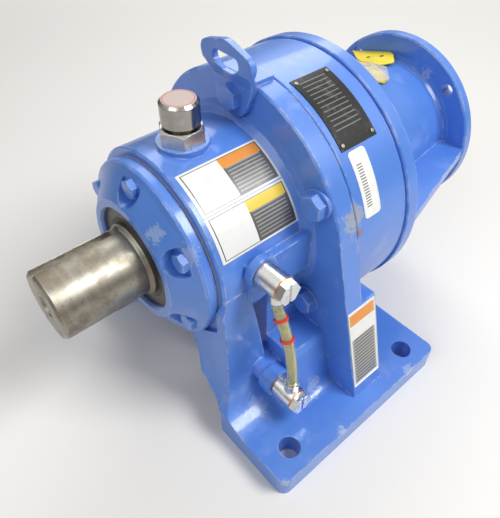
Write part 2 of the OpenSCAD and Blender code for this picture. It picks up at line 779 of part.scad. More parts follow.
// The tube leaves each fitting upright, with a tight bend at the top and a wide one below it
tube_boss_r = tube_d / 2 + 1.5;
tube_seat = copper_h + banjo_h - tube_boss_r - 0.3;
tube_top = [gauge_top_seat - tube_seat, gauge_top_z - banjo_r - stub_h + 2];
tube_low = [gauge_low_seat - tube_seat, gauge_low_z + banjo_r + stub_h - 2];
tube_step = tube_top - tube_low;
tube_turn = 2 * atan2(tube_step[0], tube_step[1]);
tube_bore_r = tube_d / 2 - 1.2;
tube_top_r = 30;
tube_low_r = tube_step[1] / sin(tube_turn) - tube_top_r;

// The two bends meet inside a moulded ridge, this proud and this long
ridge_proud = 0.03;
ridge_length = 2;

// An arc of round rod about a centre in Y and Z
module rod_arc(centre, bend_r, rod_r, from, to) {
    translate([service_x, centre[0], centre[1]]) rotate([0, 90, 0]) rotate([0, 0, from])
        rotate_extrude(angle = to - from) translate([bend_r, 0]) circle(r = rod_r);
}

// A stretch of rod along the tube's line: 0 to 1 is the lower bend, and 1 to 2 is the upper one
module tube_rod(from, to, rod_r) {
    through = from < 1 && to > 1;
    short = through ? ridge_length / 4 : 0;
    low = [from * tube_turn, min(to, 1) * tube_turn - atan2(short, tube_low_r)];
    high = [(max(from, 1) - 2) * tube_turn + atan2(short, tube_top_r), (to - 2) * tube_turn];
    if (from < 1) rod_arc(tube_low + [tube_low_r, 0], tube_low_r, rod_r, -90 - low[1], -90 - low[0]);
    if (to > 1) rod_arc(tube_top - [tube_top_r, 0], tube_top_r, rod_r, 90 + high[0], 90 + high[1]);
    if (through) translate([service_x, tube_low[0], tube_low[1]])
        translate(tube_low_r * [0, 1 - cos(tube_turn), sin(tube_turn)]) rotate([-tube_turn, 0, 0])
            cylinder(h = ridge_length, r = rod_r + ridge_proud, center = true);
}

module gauge_fittings() {
    color(zinc) difference() {
        union() {
            for (top = [true, false]) at_gauge(top) translate([0, 0, copper_h]) cylinder(h = banjo_h, r = banjo_r);
            translate([service_x, tube_low[0], gauge_low_z]) cylinder(h = banjo_r + stub_h, r = tube_boss_r);
            translate([service_x, tube_top[0], gauge_top_z - banjo_r - stub_h])
                cylinder(h = banjo_r + stub_h, r = tube_boss_r);
        }
        for (top = [true, false]) at_gauge(top) translate([0, 0, copper_h - over]) cylinder(h = banjo_h + 2 * over, r = 5);
        tube_rod(-0.002, 2.002, tube_d / 2 + running_fit);
    }
}

module gauge_bolts() {
    color(zinc) for (top = [true, false]) at_gauge(top) {
        translate([0, 0, -8]) cylinder(h = 8 + 2 * copper_h + banjo_h, r = 5);
        translate([0, 0, 2 * copper_h + banjo_h]) difference() {
            cylinder(h = 6, d = 17 / cos(30), $fn = 6);
            translate([-1, -10, 5]) cube([2, 20, 2]);
        }
    }
}

module gauge_washers() {
    color("#b5713a") for (top = [true, false], level = [0, copper_h + banjo_h]) at_gauge(top)
        translate([0, 0, level]) difference() {
            cylinder(h = copper_h, r = banjo_r - 0.5);
            translate([0, 0, -over]) cylinder(h = copper_h + 2 * over, r = 5);
        }
}

module gauge_tube() {
    color([0.85, 0.88, 0.8, 0.5]) difference() {
        tube_rod(0, 2, tube_d / 2);
        tube_rod(-0.05, 2.05, tube_bore_r);
    }
}

module gauge_oil() {
    color("#9a9434") tube_rod(0, 1.2, tube_bore_r - running_fit);
}

module level_rings() {
    color("#d23a2c") for (place = [0.68, 0.93]) difference() {
        tube_rod(place, place + 0.025, tube_d / 2 + 1.2);
        tube_rod(place - 0.02, place + 0.045, tube_d / 2 + running_fit);
    }
}

module drain_plug() {
    color(dark_steel) mirror([0, 1, 0]) at_gauge(false) {
        translate([0, 0, -9]) cylinder(h = 9, r = 6);
        cylinder(h = 8, d = 19 / cos(30), $fn = 6);
    }
}

// ---------- nameplate ----------

plate_h = 0.6;
plate_length = 37;
plate_x = ring_x + 5.5;
plate_from = 14;
plate_sweep = 32;

module nameplate() {
    color("#1b1c1e") on_axis(plate_x) rotate([0, 0, plate_from - 180]) rotate_extrude(angle = plate_sweep)
        translate([flange_r + running_fit, 0]) square([plate_h, plate_length]);
}

module nameplate_pins() {
    color(steel) for (x = [3, plate_length - 3], turn = [2, plate_sweep - 2])
        translate([plate_x + x, 0, axis_z]) rotate([plate_from + turn, 0, 0])
            translate([0, 0, flange_r + running_fit + plate_h]) cylinder(h = 0.8, r = 1.4);
}

// ---------- output side ----------

module output_shaft() {
    seat_x = output_front_x + output_front[2];
    rear_end = output_rear_x + output_rear[2];
    color(steel) difference() {
        revolved([
            [0, shaft_end_x], [output_d / 2 - 2, shaft_end_x], [output_d / 2, shaft_end_x + 2],
            [output_d / 2, seal_x - 6], [seal_seat_d / 2, seal_x - 3.5], [seal_seat_d / 2, seat_x],
            [output_rear[0] / 2, seat_x], [output_rear[0] / 2, rear_end], [output_rear[0] / 2 + 6, rear_end],
            [output_rear[0] / 2 + 6, carrier_x], [carrier_d / 2, carrier_x], [carrier_d / 2, carrier_end_x],
            [input_front[1] / 2, carrier_end_x], [input_front[1] / 2, input_front_x],
            [input_front[0] / 2 + 3, input_front_x], [input_front[0] / 2 + 3, input_front_x - 4],
            [0, input_front_x - 4]
        ]);
        // keyway, open at the shaft's end
        around(1, output_d / 2 - output_key_depth, -key_turn) {
            translate([shaft_end_x - over, -output_key_w / 2, 0])
                cube([output_length - 8 + over, output_key_w, output_d]);
            translate([shaft_end_x + output_length - 8, 0, 0]) cylinder(h = output_d, r = output_key_w / 2);
        }
        // centre hole with its countersink
        on_axis(shaft_end_x - over) cylinder(h = 30, r = 6);
        on_axis(shaft_end_x - 0.01) cylinder(h = 4, r1 = 9, r2 = 6);
        around(output_pins_n, output_circle_d / 2) rod_x(carrier_x + 4, carrier_end_x + over, output_pin_d / 2);
    }
}

module output_pins() {
    color(steel) around(output_pins_n, output_circle_d / 2) {
        rod_x(carrier_x + 4, roller_end_x + 1, output_pin_d / 2);
        rod_x(roller_end_x + 0.5, roller_end_x + 2, output_pin_d / 2 + 2);
    }
}

module bearing_spacer() {
    color(steel) disc_x(output_front_x + output_front[2], output_rear_x, spacer_d / 2, output_rear[0] / 2);
}

// ---------- input side ----------

module input_shaft() {
    nose_x = input_front_x - 1;
    end_x = motor_face_x - 8;
    color(steel) difference() {
        revolved([
            [0, nose_x], [input_front[0] / 2 - 1, nose_x], [input_front[0] / 2, nose_x + 1],
            [input_front[0] / 2, input_front_x + input_front[2]], [input_seat_d / 2, input_front_x + input_front[2]],
            [input_seat_d / 2, disc_end_x], [input_collar_d / 2, disc_end_x], [input_collar_d / 2, input_rear_x],
            [input_rear[0] / 2, input_rear_x], [input_rear[0] / 2, input_rear_x + input_rear[2]],
            [quill_d / 2, input_rear_x + input_rear[2]], [quill_d / 2, end_x - 1], [quill_d / 2 - 1, end_x],
            [0, end_x]
        ]);
        on_axis(end_x - motor_bore_depth) cylinder(h = motor_bore_depth + over, d = motor_shaft_d);
        translate([end_x - motor_bore_depth, -motor_key_w / 2, axis_z])
            cube([motor_bore_depth + over, motor_key_w, motor_shaft_d / 2 + 2.4]);
    }
}

module eccentric() {
    hub_x = input_front_x + input_front[2];
    color(dark_steel) difference() {
        union() {
            disc_x(hub_x, disc_a_x, input_seat_d / 2 + 3);
            translate([0, 0, eccentricity]) disc_x(disc_a_x, disc_a_x + disc_thick + 0.3, eccentric_d / 2);
            disc_x(disc_a_x + disc_thick + 0.3, disc_b_x - 0.3, eccentric_d / 2 + 5);
            translate([0, 0, -eccentricity]) disc_x(disc_b_x - 0.3, disc_end_x, eccentric_d / 2);
        }
        disc_x(hub_x - over, disc_end_x + over, input_seat_d / 2);
    }
}

// One point of the disc's outline, at angle t: an inner parallel of an epitrochoid
function lobe_point(t) =
    let (
        r = ring_roller_d / 2 + disc_clearance,
        lean = atan2(sin((1 - pins_n) * t), ring_r / (eccentricity * pins_n) - cos((1 - pins_n) * t))
    ) [
        ring_r * cos(t) - r * cos(t + lean) - eccentricity * cos(pins_n * t),
        -ring_r * sin(t) + r * sin(t + lean) + eccentricity * sin(pins_n * t)
    ];

// A cycloid disc: side is 1 for the disc above the axis and -1 for the one below it
module cycloid_disc(x, side) {
    steps = 26 * lobes;
    color(steel) on_axis(x) translate([-side * eccentricity, 0, 0]) linear_extrude(disc_thick) difference() {
        rotate(side > 0 ? 180 : 0) polygon([for (i = [0 : steps - 1]) lobe_point(i * 360 / steps)]);
        circle(r = disc_bore_r + running_fit);
        for (i = [0 : output_pins_n - 1]) rotate(i * 360 / output_pins_n)
            translate([output_circle_d / 2, 0]) circle(r = drive_hole_r);
    }
}

module cycloid_disc_a() { cycloid_disc(disc_a_x, 1); }
module cycloid_disc_b() { cycloid_disc(disc_b_x, -1); }

module drive_roller(number) {
    turn = (number - 1) * 360 / output_pins_n;
    color(dark_steel) around(1, output_circle_d / 2, turn) difference() {
        rod_x(roller_x, roller_end_x, drive_roller_d / 2);
        rod_x(roller_x - over, roller_end_x + over, output_pin_d / 2 + running_fit);
    }
}

// Rollers between an eccentric and its disc, joined by their cage
module eccentric_rollers(x, side) {
    long = disc_thick - 2;
    color(brass) translate([0, 0, side * eccentricity]) {
        disc_x(x + 1, x + 1 + long, eccentric_pitch_r + 1, eccentric_pitch_r - 1);
        around(eccentric_rollers_n, eccentric_pitch_r) rod_x(x + 1, x + 1 + long, eccentric_roller_d / 2 - running_fit);
    }
}

// ---------- assembly ----------

casing();
front_cover();
cover_gasket();
cover_bolts();
seal_case();
seal_lip();
ring_housing();
housing_gaskets();
ring_pins();
ring_rollers();
motor_adapter();
housing_bolts();
bolt_washers();
lifting_eye();
input_seal();
bearing_snap_ring();
breather_body();
breather_cap();
gauge_fittings();
gauge_bolts();
gauge_washers();
gauge_tube();
gauge_oil();
level_rings();
drain_plug();
nameplate();
nameplate_pins();
color(steel) bearing_outer(output_front, output_front_x);  // output_front_bearing_outer
color(steel) bearing_outer(output_rear, output_rear_x);  // output_rear_bearing_outer
color(steel) bearing_outer(input_rear, input_rear_x);  // input_rear_bearing_outer
output_shaft();
output_pins();
bearing_spacer();
color(steel) bearing_inner(output_front, output_front_x);  // output_front_bearing_inner
color(steel) bearing_inner(output_rear, output_rear_x);  // output_rear_bearing_inner
color(steel) bearing_outer(input_front, input_front_x);  // input_front_bearing_outer
input_shaft();
eccentric();
color(steel) bearing_inner(input_front, input_front_x);  // input_front_bearing_inner
color(steel) bearing_inner(input_rear, input_rear_x);  // input_rear_bearing_inner
cycloid_disc_a();
cycloid_disc_b();
drive_roller(1);  // drive_roller_1
drive_roller(2);  // drive_roller_2
drive_roller(3);  // drive_roller_3
drive_roller(4);  // drive_roller_4
drive_roller(5);  // drive_roller_5
drive_roller(6);  // drive_roller_6
color(brass) ball_set(output_front, output_front_x);  // output_front_balls
color(brass) ball_set(output_rear, output_rear_x);  // output_rear_balls
color(brass) ball_set(input_front, input_front_x);  // input_front_balls
color(brass) ball_set(input_rear, input_rear_x);  // input_rear_balls
eccentric_rollers(disc_a_x, 1);  // eccentric_rollers_a
eccentric_rollers(disc_b_x, -1);  // eccentric_rollers_b
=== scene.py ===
"""Dresses a foot-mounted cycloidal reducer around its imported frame.

+X points to the motor flange and +Z up; the oil gauge is on the -Y side. The shafts lie along X.
"""
from __future__ import annotations

import json
import logging
import math
from dataclasses import dataclass
from enum import Enum
from typing import Any, Callable, Iterable, Sequence

import bmesh
import bpy
from mathutils import Matrix, Vector

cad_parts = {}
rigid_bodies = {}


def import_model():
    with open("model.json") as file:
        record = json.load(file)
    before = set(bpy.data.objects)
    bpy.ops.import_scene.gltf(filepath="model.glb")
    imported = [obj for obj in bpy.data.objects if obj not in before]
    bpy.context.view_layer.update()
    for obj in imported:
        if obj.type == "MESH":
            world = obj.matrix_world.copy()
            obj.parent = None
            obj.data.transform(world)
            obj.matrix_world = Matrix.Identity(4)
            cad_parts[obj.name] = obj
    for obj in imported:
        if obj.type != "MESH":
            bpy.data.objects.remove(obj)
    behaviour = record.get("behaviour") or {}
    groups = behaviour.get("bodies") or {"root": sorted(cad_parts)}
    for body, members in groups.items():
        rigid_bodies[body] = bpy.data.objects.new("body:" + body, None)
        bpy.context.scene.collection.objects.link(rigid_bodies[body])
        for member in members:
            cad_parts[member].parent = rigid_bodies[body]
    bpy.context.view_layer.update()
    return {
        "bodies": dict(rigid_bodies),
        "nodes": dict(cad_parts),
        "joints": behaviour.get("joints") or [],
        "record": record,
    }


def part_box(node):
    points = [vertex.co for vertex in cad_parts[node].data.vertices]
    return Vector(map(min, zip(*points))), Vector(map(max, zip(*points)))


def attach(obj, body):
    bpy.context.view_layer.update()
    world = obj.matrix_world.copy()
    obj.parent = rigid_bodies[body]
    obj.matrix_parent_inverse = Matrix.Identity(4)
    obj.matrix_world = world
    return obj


Colour = tuple[float, float, float]
Place = tuple[float, float, float]
Limits = tuple[float, float]
Outline = tuple[tuple[float, float], ...]
Socket = bpy.types.NodeSocket

LOG = logging.getLogger("reducer")
SHAFT_HEIGHT = 0.150
SHAFT_CENTRE = Vector((0.0, 0.0, SHAFT_HEIGHT))
MERGE_DISTANCE = 1e-6
SMOOTH_ANGLE = math.radians(30.0)
CORNER_SEGMENTS = 4
WHITE: Colour = (1.0, 1.0, 1.0)
# the Mix node's colour sockets share their names with its other sockets, so they go by number
MIX_FACTOR, MIX_FIRST, MIX_SECOND, MIX_RESULT = 0, 6, 7, 2


# ---------- node building ----------


class Graph:
    """Adds nodes to one node tree and joins them."""

    def __init__(self, tree: bpy.types.NodeTree) -> None:
        """Keeps the tree that nodes go into."""
        self.tree = tree

    def add(self, kind: str, sockets: dict[Any, Any] | None = None, **settings: Any) -> bpy.types.Node:
        """Adds a node.

        Args:
            kind: The node's type, without the leading "ShaderNode".
            sockets: Values or links for its inputs, by name or number.
            **settings: The node's own properties.

        Returns:
            The new node.
        """
        node = self.tree.nodes.new("ShaderNode" + kind)
        for name, value in settings.items():
            setattr(node, name, value)
        self.fill(node, sockets or {})
        return node

    def fill(self, node: bpy.types.Node, sockets: dict[Any, Any]) -> None:
        """Gives a node its inputs.

        Args:
            node: The node.
            sockets: Values or links for its inputs, by name or number.
        """
        for key, value in sockets.items():
            if isinstance(value, Socket):
                self.tree.links.new(value, node.inputs[key])
            else:
                node.inputs[key].default_value = value

    def math(self, operation: str, first: Any, second: Any = 0.0) -> Socket:
        """Returns the result of a Math node."""
        return self.add("Math", {0: first, 1: second}, operation=operation).outputs[0]

    def times(self, first: Any, second: Any) -> Socket:
        """Returns two values multiplied."""
        return self.math("MULTIPLY", first, second)

    def raised(self, value: Any, extra: Any, share: float) -> Socket:
        """Returns a value with a share of another added to it."""
        return self.math("ADD", value, self.times(extra, share))

    def length(self, first: Socket, second: Socket) -> Socket:
        """Returns the length of a vector that has two parts."""
        return self.math("SQRT", self.math("ADD", self.times(first, first), self.times(second, second)))

    def step(self, value: Any, low: float, high: float) -> Socket:
        """Returns a smooth step from 0 at low to 1 at high."""
        sockets = {"Value": value, "From Min": low, "From Max": high}
        return self.add("MapRange", sockets, interpolation_type="SMOOTHSTEP").outputs[0]

    def spread(self, value: Any, low: float, high: float) -> Socket:
        """Returns a 0-to-1 value stretched from low to high."""
        return self.add("MapRange", {"Value": value, "To Min": low, "To Max": high}).outputs[0]

    def share(self, value: Any, low: float, high: float) -> Socket:
        """Returns how far a value is from low to high, below 0 and past 1 as well."""
        sockets = {"Value": value, "From Min": low, "From Max": high}
        return self.add("MapRange", sockets, clamp=False).outputs[0]

    def mix(self, factor: Any, first: Any, second: Any) -> Socket:
        """Returns two colours mixed."""
        sockets = {MIX_FACTOR: factor, MIX_FIRST: _rgba(first), MIX_SECOND: _rgba(second)}
        return self.add("Mix", sockets, data_type="RGBA").outputs[MIX_RESULT]

    def lay(self, under: Any, mask: Socket, amount: float, over: Any) -> Socket:
        """Returns a colour with another laid over it where a mask shows."""
        return self.mix(self.times(mask, amount), under, over)

    def noise(self, vector: Any, scale: Any, detail: float = 3.0, rough: float = 0.5) -> Socket:
        """Returns a noise value at a vector."""
        sockets = {"Vector": vector, "Scale": scale, "Detail": detail, "Roughness": rough}
        return self.add("TexNoise", sockets).outputs["Fac"]

    def place(self) -> Socket:
        """Returns Object coordinates, in metres."""
        return self.add("TexCoord").outputs["Object"]

    def parts(self, vector: Socket) -> bpy.types.NodeOutputs:
        """Returns a vector's X, Y and Z."""
        return self.add("SeparateXYZ", {0: vector}).outputs

    def from_shaft(self) -> bpy.types.NodeOutputs:
        """Returns the X, Y and Z of a place, measured from the shaft axis."""
        return self.parts(
            self.add("VectorMath", {0: self.place(), 1: SHAFT_CENTRE}, operation="SUBTRACT").outputs[0]
        )

    def seen(self) -> Socket:
        """Returns 1 for a ray that comes straight or through glass to the camera, and 0 for others."""
        path = self.add("LightPath").outputs
        return self.math("MAXIMUM", path["Is Camera Ray"], path["Is Transmission Ray"])


def _rgba(value: Any) -> Any:
    """Gives a three-part colour its fourth part, and leaves a link as it is."""
    return (*value, 1.0) if isinstance(value, tuple) and len(value) == 3 else value


def _shade(colour: Colour, share: float, lift: float = 0.0) -> Colour:
    """Returns a colour made darker or lighter."""
    return tuple(min(1.0, share * part + lift) for part in colour)


class Effect(Enum):
    """The shared effects, each a node group that is built once."""

    EDGE = "edge_wear"
    CAST = "cast_skin"
    TURNED = "turned_marks"
    STAIN = "stains"
    ROUND_SHAFT = "round_the_shaft"
    CHIP = "chip_and_highlight"
    PRINT = "printed_panel"


class EffectLibrary:
    """Builds the effect groups and places them in materials."""

    def __init__(self) -> None:
        """Builds every group."""
        self.groups: dict[Effect, bpy.types.NodeTree] = {}
        self._edge_wear()
        self._cast_skin()
        self._turned_marks()
        self._stains()
        self._round_the_shaft()
        self._chip_and_highlight()
        self._printed_panel()

    def _start(
        self, effect: Effect, inputs: dict[str, float], outputs: Sequence[str]
    ) -> tuple[Graph, bpy.types.NodeOutputs, bpy.types.Node]:
        """Makes an empty group with its sockets.

        Args:
            effect: The effect that the group stands for.
            inputs: Names and first values of the number inputs.
            outputs: Names of the outputs; "Normal" is a vector.

        Returns:
            The graph, the sockets that bring its inputs in, and its output node.
        """
        tree = bpy.data.node_groups.new(effect.value, "ShaderNodeTree")
        for name, value in inputs.items():
            socket = tree.interface.new_socket(name, in_out="INPUT", socket_type="NodeSocketFloat")
            socket.default_value = value
        for name in outputs:
            kind = "NodeSocketVector" if name == "Normal" else "NodeSocketFloat"
            tree.interface.new_socket(name, in_out="OUTPUT", socket_type=kind)
        self.groups[effect] = tree
        entry, leave = tree.nodes.new("NodeGroupInput"), tree.nodes.new("NodeGroupOutput")
        return Graph(tree), entry.outputs, leave

    def _edge_wear(self) -> None:
        """Finds edges, breaks them up, and gives a normal that rounds them."""
        edge_limits, worn_limits, worn_share = (0.004, 0.09), (0.62, 0.74), 0.4
        graph, entry, leave = self._start(
            Effect.EDGE, {"Radius": 0.002, "Breakup": 90.0, "Amount": 0.5}, ("Mask", "Normal")
        )
        bevel = graph.add("Bevel", {"Radius": entry["Radius"]}, samples=4).outputs[0]
        flat = graph.add("NewGeometry").outputs["Normal"]
        dot = graph.add("VectorMath", {0: bevel, 1: flat}, operation="DOT_PRODUCT").outputs["Value"]
        edge = graph.step(graph.math("SUBTRACT", 1.0, dot), *edge_limits)
        patches = graph.noise(graph.place(), entry["Breakup"], detail=4.0, rough=0.65)
        worn = graph.step(graph.raised(patches, entry["Amount"], worn_share), *worn_limits)
        graph.fill(leave, {"Mask": graph.times(edge, worn), "Normal": bevel})

    def _cast_skin(self) -> None:
        """Gives the soft ripple of paint over sand-cast iron, and its slow change of tone."""
        fine_scale, fine_share, slow_scale, mottle_scale = 420.0, 0.35, 70.0, 22.0
        graph, entry, leave = self._start(Effect.CAST, {"Scale": 1.0}, ("Height", "Mottle"))
        place = graph.place()
        fine = graph.noise(place, graph.times(entry["Scale"], fine_scale), detail=2.0)
        slow = graph.noise(place, graph.times(entry["Scale"], slow_scale))
        mottle = graph.noise(place, mottle_scale, detail=4.0, rough=0.6)
        graph.fill(leave, {"Height": graph.raised(slow, fine, fine_share), "Mottle": mottle})

    def _turned_marks(self) -> None:
        """Gives fine lines round the shaft axis, on barrels and on end faces."""
        streak_share = 0.12
        graph, entry, leave = self._start(Effect.TURNED, {"Pitch": 1800.0}, ("Height", "Streak"))
        along, across, up = graph.from_shaft()
        lines = graph.add("CombineXYZ", {0: along, 1: graph.length(across, up)}).outputs[0]
        streak = graph.noise(lines, graph.times(entry["Pitch"], streak_share))
        graph.fill(leave, {"Height": graph.noise(lines, entry["Pitch"], detail=2.0), "Streak": streak})

    def _stains(self) -> None:
        """Gives broad stains and small specks."""
        stain_share, stain_limits, speck_scale, speck_limits = 0.3, (0.58, 0.78), 9.0, (0.66, 0.72)
        graph, entry, leave = self._start(Effect.STAIN, {"Scale": 60.0, "Amount": 0.5}, ("Stain", "Specks"))
        place = graph.place()
        broad = graph.noise(place, entry["Scale"], detail=6.0, rough=0.62)
        stain = graph.step(graph.raised(broad, entry["Amount"], stain_share), *stain_limits)
        specks = graph.noise(place, graph.times(entry["Scale"], speck_scale), detail=2.0, rough=0.4)
        graph.fill(leave, {"Stain": stain, "Specks": graph.step(specks, *speck_limits)})

    def _round_the_shaft(self) -> None:
        """Gives the distance along the shaft, and the angle round it from the top to the gauge side, in degrees."""
        graph, _, leave = self._start(Effect.ROUND_SHAFT, {}, ("Along", "Angle"))
        along, across, up = graph.from_shaft()
        turned = graph.math("ARCTAN2", graph.times(across, -1.0), up)
        graph.fill(leave, {"Along": along, "Angle": graph.math("DEGREES", turned)})

    def _chip_and_highlight(self) -> None:
        """Gives a ragged patch round a point, such as a knock, a rubbed place, and a pale painted highlight."""
        near_share, spot_limits = 0.42, (0.64, 0.72)
        graph, entry, leave = self._start(
            Effect.CHIP, {"X": 0.0, "Y": 0.0, "Z": 0.0, "Radius": 0.01, "Grain": 260.0}, ("Mask",)
        )
        place = graph.place()
        centre = graph.add("CombineXYZ", {i: entry[axis] for i, axis in enumerate("XYZ")}).outputs[0]
        away = graph.add("VectorMath", {0: place, 1: centre}, operation="DISTANCE").outputs["Value"]
        near = graph.math("SUBTRACT", 1.0, graph.math("DIVIDE", away, entry["Radius"]))
        ragged = graph.noise(place, entry["Grain"], detail=4.0, rough=0.7)
        spot_mask = graph.step(graph.raised(ragged, near, near_share), *spot_limits)
        graph.fill(leave, {"Mask": graph.times(spot_mask, graph.math("GREATER_THAN", near, 0.0))})

    def _printed_panel(self) -> None:
        """Gives 1 inside a printed rectangle and 0 outside it."""
        graph, entry, leave = self._start(
            Effect.PRINT,
            {"Across": 0.0, "Down": 0.0, "Left": 0.0, "Right": 1.0, "Top": 0.0, "Bottom": 1.0},
            ("Mask",),
        )
        tests = (
            ("GREATER_THAN", "Across", "Left"), ("LESS_THAN", "Across", "Right"),
            ("GREATER_THAN", "Down", "Top"), ("LESS_THAN", "Down", "Bottom"),
        )
        inside: Any = 1.0
        for operation, value, limit in tests:
            inside = graph.times(inside, graph.math(operation, entry[value], entry[limit]))
        graph.fill(leave, {"Mask": inside})

    def use(self, graph: Graph, effect: Effect, **values: Any) -> bpy.types.NodeOutputs:
        """Places an effect in a material.

        Args:
            graph: The material's graph.
            effect: The effect to place.
            **values: Values or links of the group's inputs.

        Returns:
            The group's outputs, by name.
        """
        return graph.add("Group", values, node_tree=self.groups[effect]).outputs


# ---------- finishes ----------


def _start_material(name: str) -> tuple[bpy.types.Material, Graph, bpy.types.Node]:
    """Makes a material with its plain shader.

    Args:
        name: The material's name.

    Returns:
        The material, its graph and its shader.
    """
    material = bpy.data.materials.new(name)
    material.use_nodes = True
    tree = material.node_tree
    return material, Graph(tree), next(node for node in tree.nodes if node.type == "BSDF_PRINCIPLED")


@dataclass(frozen=True)
class Finish:
    """A finish with one shader; each kind of finish adds its own surface."""

    name: str
    base: Colour
    roughness: float = 0.5
    metallic: float = 0.0

    def build(self, effects: EffectLibrary) -> bpy.types.Material:
        """Makes the material.

        Args:
            effects: The effect groups.

        Returns:
            The material.
        """
        material, graph, shader = _start_material(self.name)
        graph.fill(
            shader, {"Base Color": _rgba(self.base), "Roughness": self.roughness, "Metallic": self.metallic}
        )
        self.dress(graph, shader, effects)
        return material

    def dress(self, graph: Graph, shader: bpy.types.Node, effects: EffectLibrary) -> None:
        """Adds the surface to the shader."""
        raise NotImplementedError

    def vary(self, graph: Graph, value: Socket, smoother: float, rougher: float) -> Socket:
        """Returns a roughness that follows a 0-to-1 value, around the finish's own."""
        return graph.spread(value, max(0.0, self.roughness - smoother), self.roughness + rougher)

    @staticmethod
    def bump(graph: Graph, height: Socket, depth: float, normal: Socket | None = None) -> Socket:
        """Makes a normal from a height.

        Args:
            graph: The material's graph.
            height: The height, from 0 to 1.
            depth: What a height of 1 stands for, in metres.
            normal: A normal to start from.

        Returns:
            The normal.
        """
        sockets: dict[Any, Any] = {"Height": height, "Distance": depth, "Strength": 1.0}
        if normal is not None:
            sockets["Normal"] = normal
        return graph.add("Bump", sockets).outputs[0]


@dataclass(frozen=True)
class SurfaceSpot:
    """A patch laid on the paint, for a knock, a rubbed place, and also a pale painted highlight: where it is, how
    wide, how well it shows, and what shows there.
    """

    place: Place
    radius: float
    cover: float
    tone: Colour


@dataclass(frozen=True)
class Enamel(Finish):
    """Sprayed enamel over cast iron or steel, with pale scuffs on its edges."""

    scuff: Colour = (0.62, 0.68, 0.80)
    wear: float = 0.4
    edge: float = 0.0016
    ripple: float = 0.00022
    skin: float = 1.0
    chips_and_highlights: tuple[SurfaceSpot, ...] = ()
    dark: float = 0.82
    light: float = 1.12
    light_lift: float = 0.012
    dust_cover: float = 0.16
    scuff_cover: float = 0.75
    smoother: float = 0.07
    rougher: float = 0.09
    scuff_rough: float = 0.25
    coat: float = 0.45
    coat_rough: float = 0.1

    def dress(self, graph: Graph, shader: bpy.types.Node, effects: EffectLibrary) -> None:
        """Adds the tone, the scuffs, the knocks with the pale painted highlights, and the ripple.

        Args:
            graph: The material's graph.
            shader: The material's shader.
            effects: The effect groups.
        """
        cast = effects.use(graph, Effect.CAST, Scale=self.skin)
        worn = effects.use(graph, Effect.EDGE, Radius=self.edge, Breakup=70.0, Amount=self.wear)
        stains = effects.use(graph, Effect.STAIN, Scale=38.0, Amount=0.12)
        darker, lighter = _shade(self.base, self.dark), _shade(self.base, self.light, self.light_lift)
        colour = graph.mix(cast["Mottle"], darker, lighter)
        colour = graph.lay(colour, stains["Stain"], self.dust_cover, self.scuff)
        colour = graph.lay(colour, worn["Mask"], self.scuff_cover, self.scuff)
        # knocks, rubbed places and pale painted highlights laid over the enamel
        for surface_spot in self.chips_and_highlights:
            x, y, z = surface_spot.place
            mask = effects.use(graph, Effect.CHIP, X=x, Y=y, Z=z, Radius=surface_spot.radius)["Mask"]
            colour = graph.lay(colour, mask, surface_spot.cover, surface_spot.tone)
        rough = self.vary(graph, cast["Mottle"], self.smoother, self.rougher)
        graph.fill(shader, {
            "Base Color": colour,
            "Roughness": graph.raised(rough, worn["Mask"], self.scuff_rough),
            "Coat Weight": self.coat,
            "Coat Roughness": self.coat_rough,
            "Normal": self.bump(graph, cast["Height"], self.ripple, worn["Normal"]),
        })


@dataclass(frozen=True)
class TurnedSteel(Finish):
    """Turned steel with lathe lines and stains."""

    stain: Colour = (0.16, 0.12, 0.08)
    stained: float = 0.5
    pitch: float = 1800.0
    depth: float = 0.00003
    edge: float = 0.0006
    bare: Colour = (0.86, 0.84, 0.80)
    dark: float = 0.8
    light: float = 1.25
    stain_cover: float = 0.55
    speck_cover: float = 0.5
    bare_cover: float = 0.5
    smoother: float = 0.08
    rougher: float = 0.1
    stain_rough: float = 0.12

    def dress(self, graph: Graph, shader: bpy.types.Node, effects: EffectLibrary) -> None:
        """Adds the lathe lines, the stains and the bare edges.

        Args:
            graph: The material's graph.
            shader: The material's shader.
            effects: The effect groups.
        """
        turned = effects.use(graph, Effect.TURNED, Pitch=self.pitch)
        stains = effects.use(graph, Effect.STAIN, Scale=48.0, Amount=self.stained)
        worn = effects.use(graph, Effect.EDGE, Radius=self.edge, Breakup=120.0, Amount=0.6)
        colour = graph.mix(turned["Streak"], _shade(self.base, self.dark), _shade(self.base, self.light))
        colour = graph.lay(colour, stains["Stain"], self.stain_cover, self.stain)
        colour = graph.lay(colour, stains["Specks"], self.speck_cover, self.stain)
        colour = graph.lay(colour, worn["Mask"], self.bare_cover, self.bare)
        rough = self.vary(graph, turned["Streak"], self.smoother, self.rougher)
        graph.fill(shader, {
            "Base Color": colour,
            "Roughness": graph.raised(rough, stains["Stain"], self.stain_rough),
            "Normal": self.bump(graph, turned["Height"], self.depth, worn["Normal"]),
        })


@dataclass(frozen=True)
class Plating(Finish):
    """A plated or ground metal with faint handling marks."""

    tint: Colour = (0.5, 0.5, 0.5)
    marks: float = 0.3
    edge: float = 0.0005
    mark_cover: float = 0.4
    mark_rough: float = 0.16
    grain: float = 900.0
    depth: float = 0.00003

    def dress(self, graph: Graph, shader: bpy.types.Node, effects: EffectLibrary) -> None:
        """Adds the marks and the softened edges.

        Args:
            graph: The material's graph.
            shader: The material's shader.
            effects: The effect groups.
        """
        stains = effects.use(graph, Effect.STAIN, Scale=110.0, Amount=self.marks)
        worn = effects.use(graph, Effect.EDGE, Radius=self.edge, Breakup=200.0, Amount=0.4)
        fine = graph.noise(graph.place(), self.grain, detail=2.0)
        graph.fill(shader, {
            "Base Color": graph.lay(self.base, stains["Stain"], self.mark_cover, self.tint),
            "Roughness": graph.raised(self.roughness, stains["Stain"], self.mark_rough),
            "Normal": self.bump(graph, fine, self.depth, worn["Normal"]),
        })


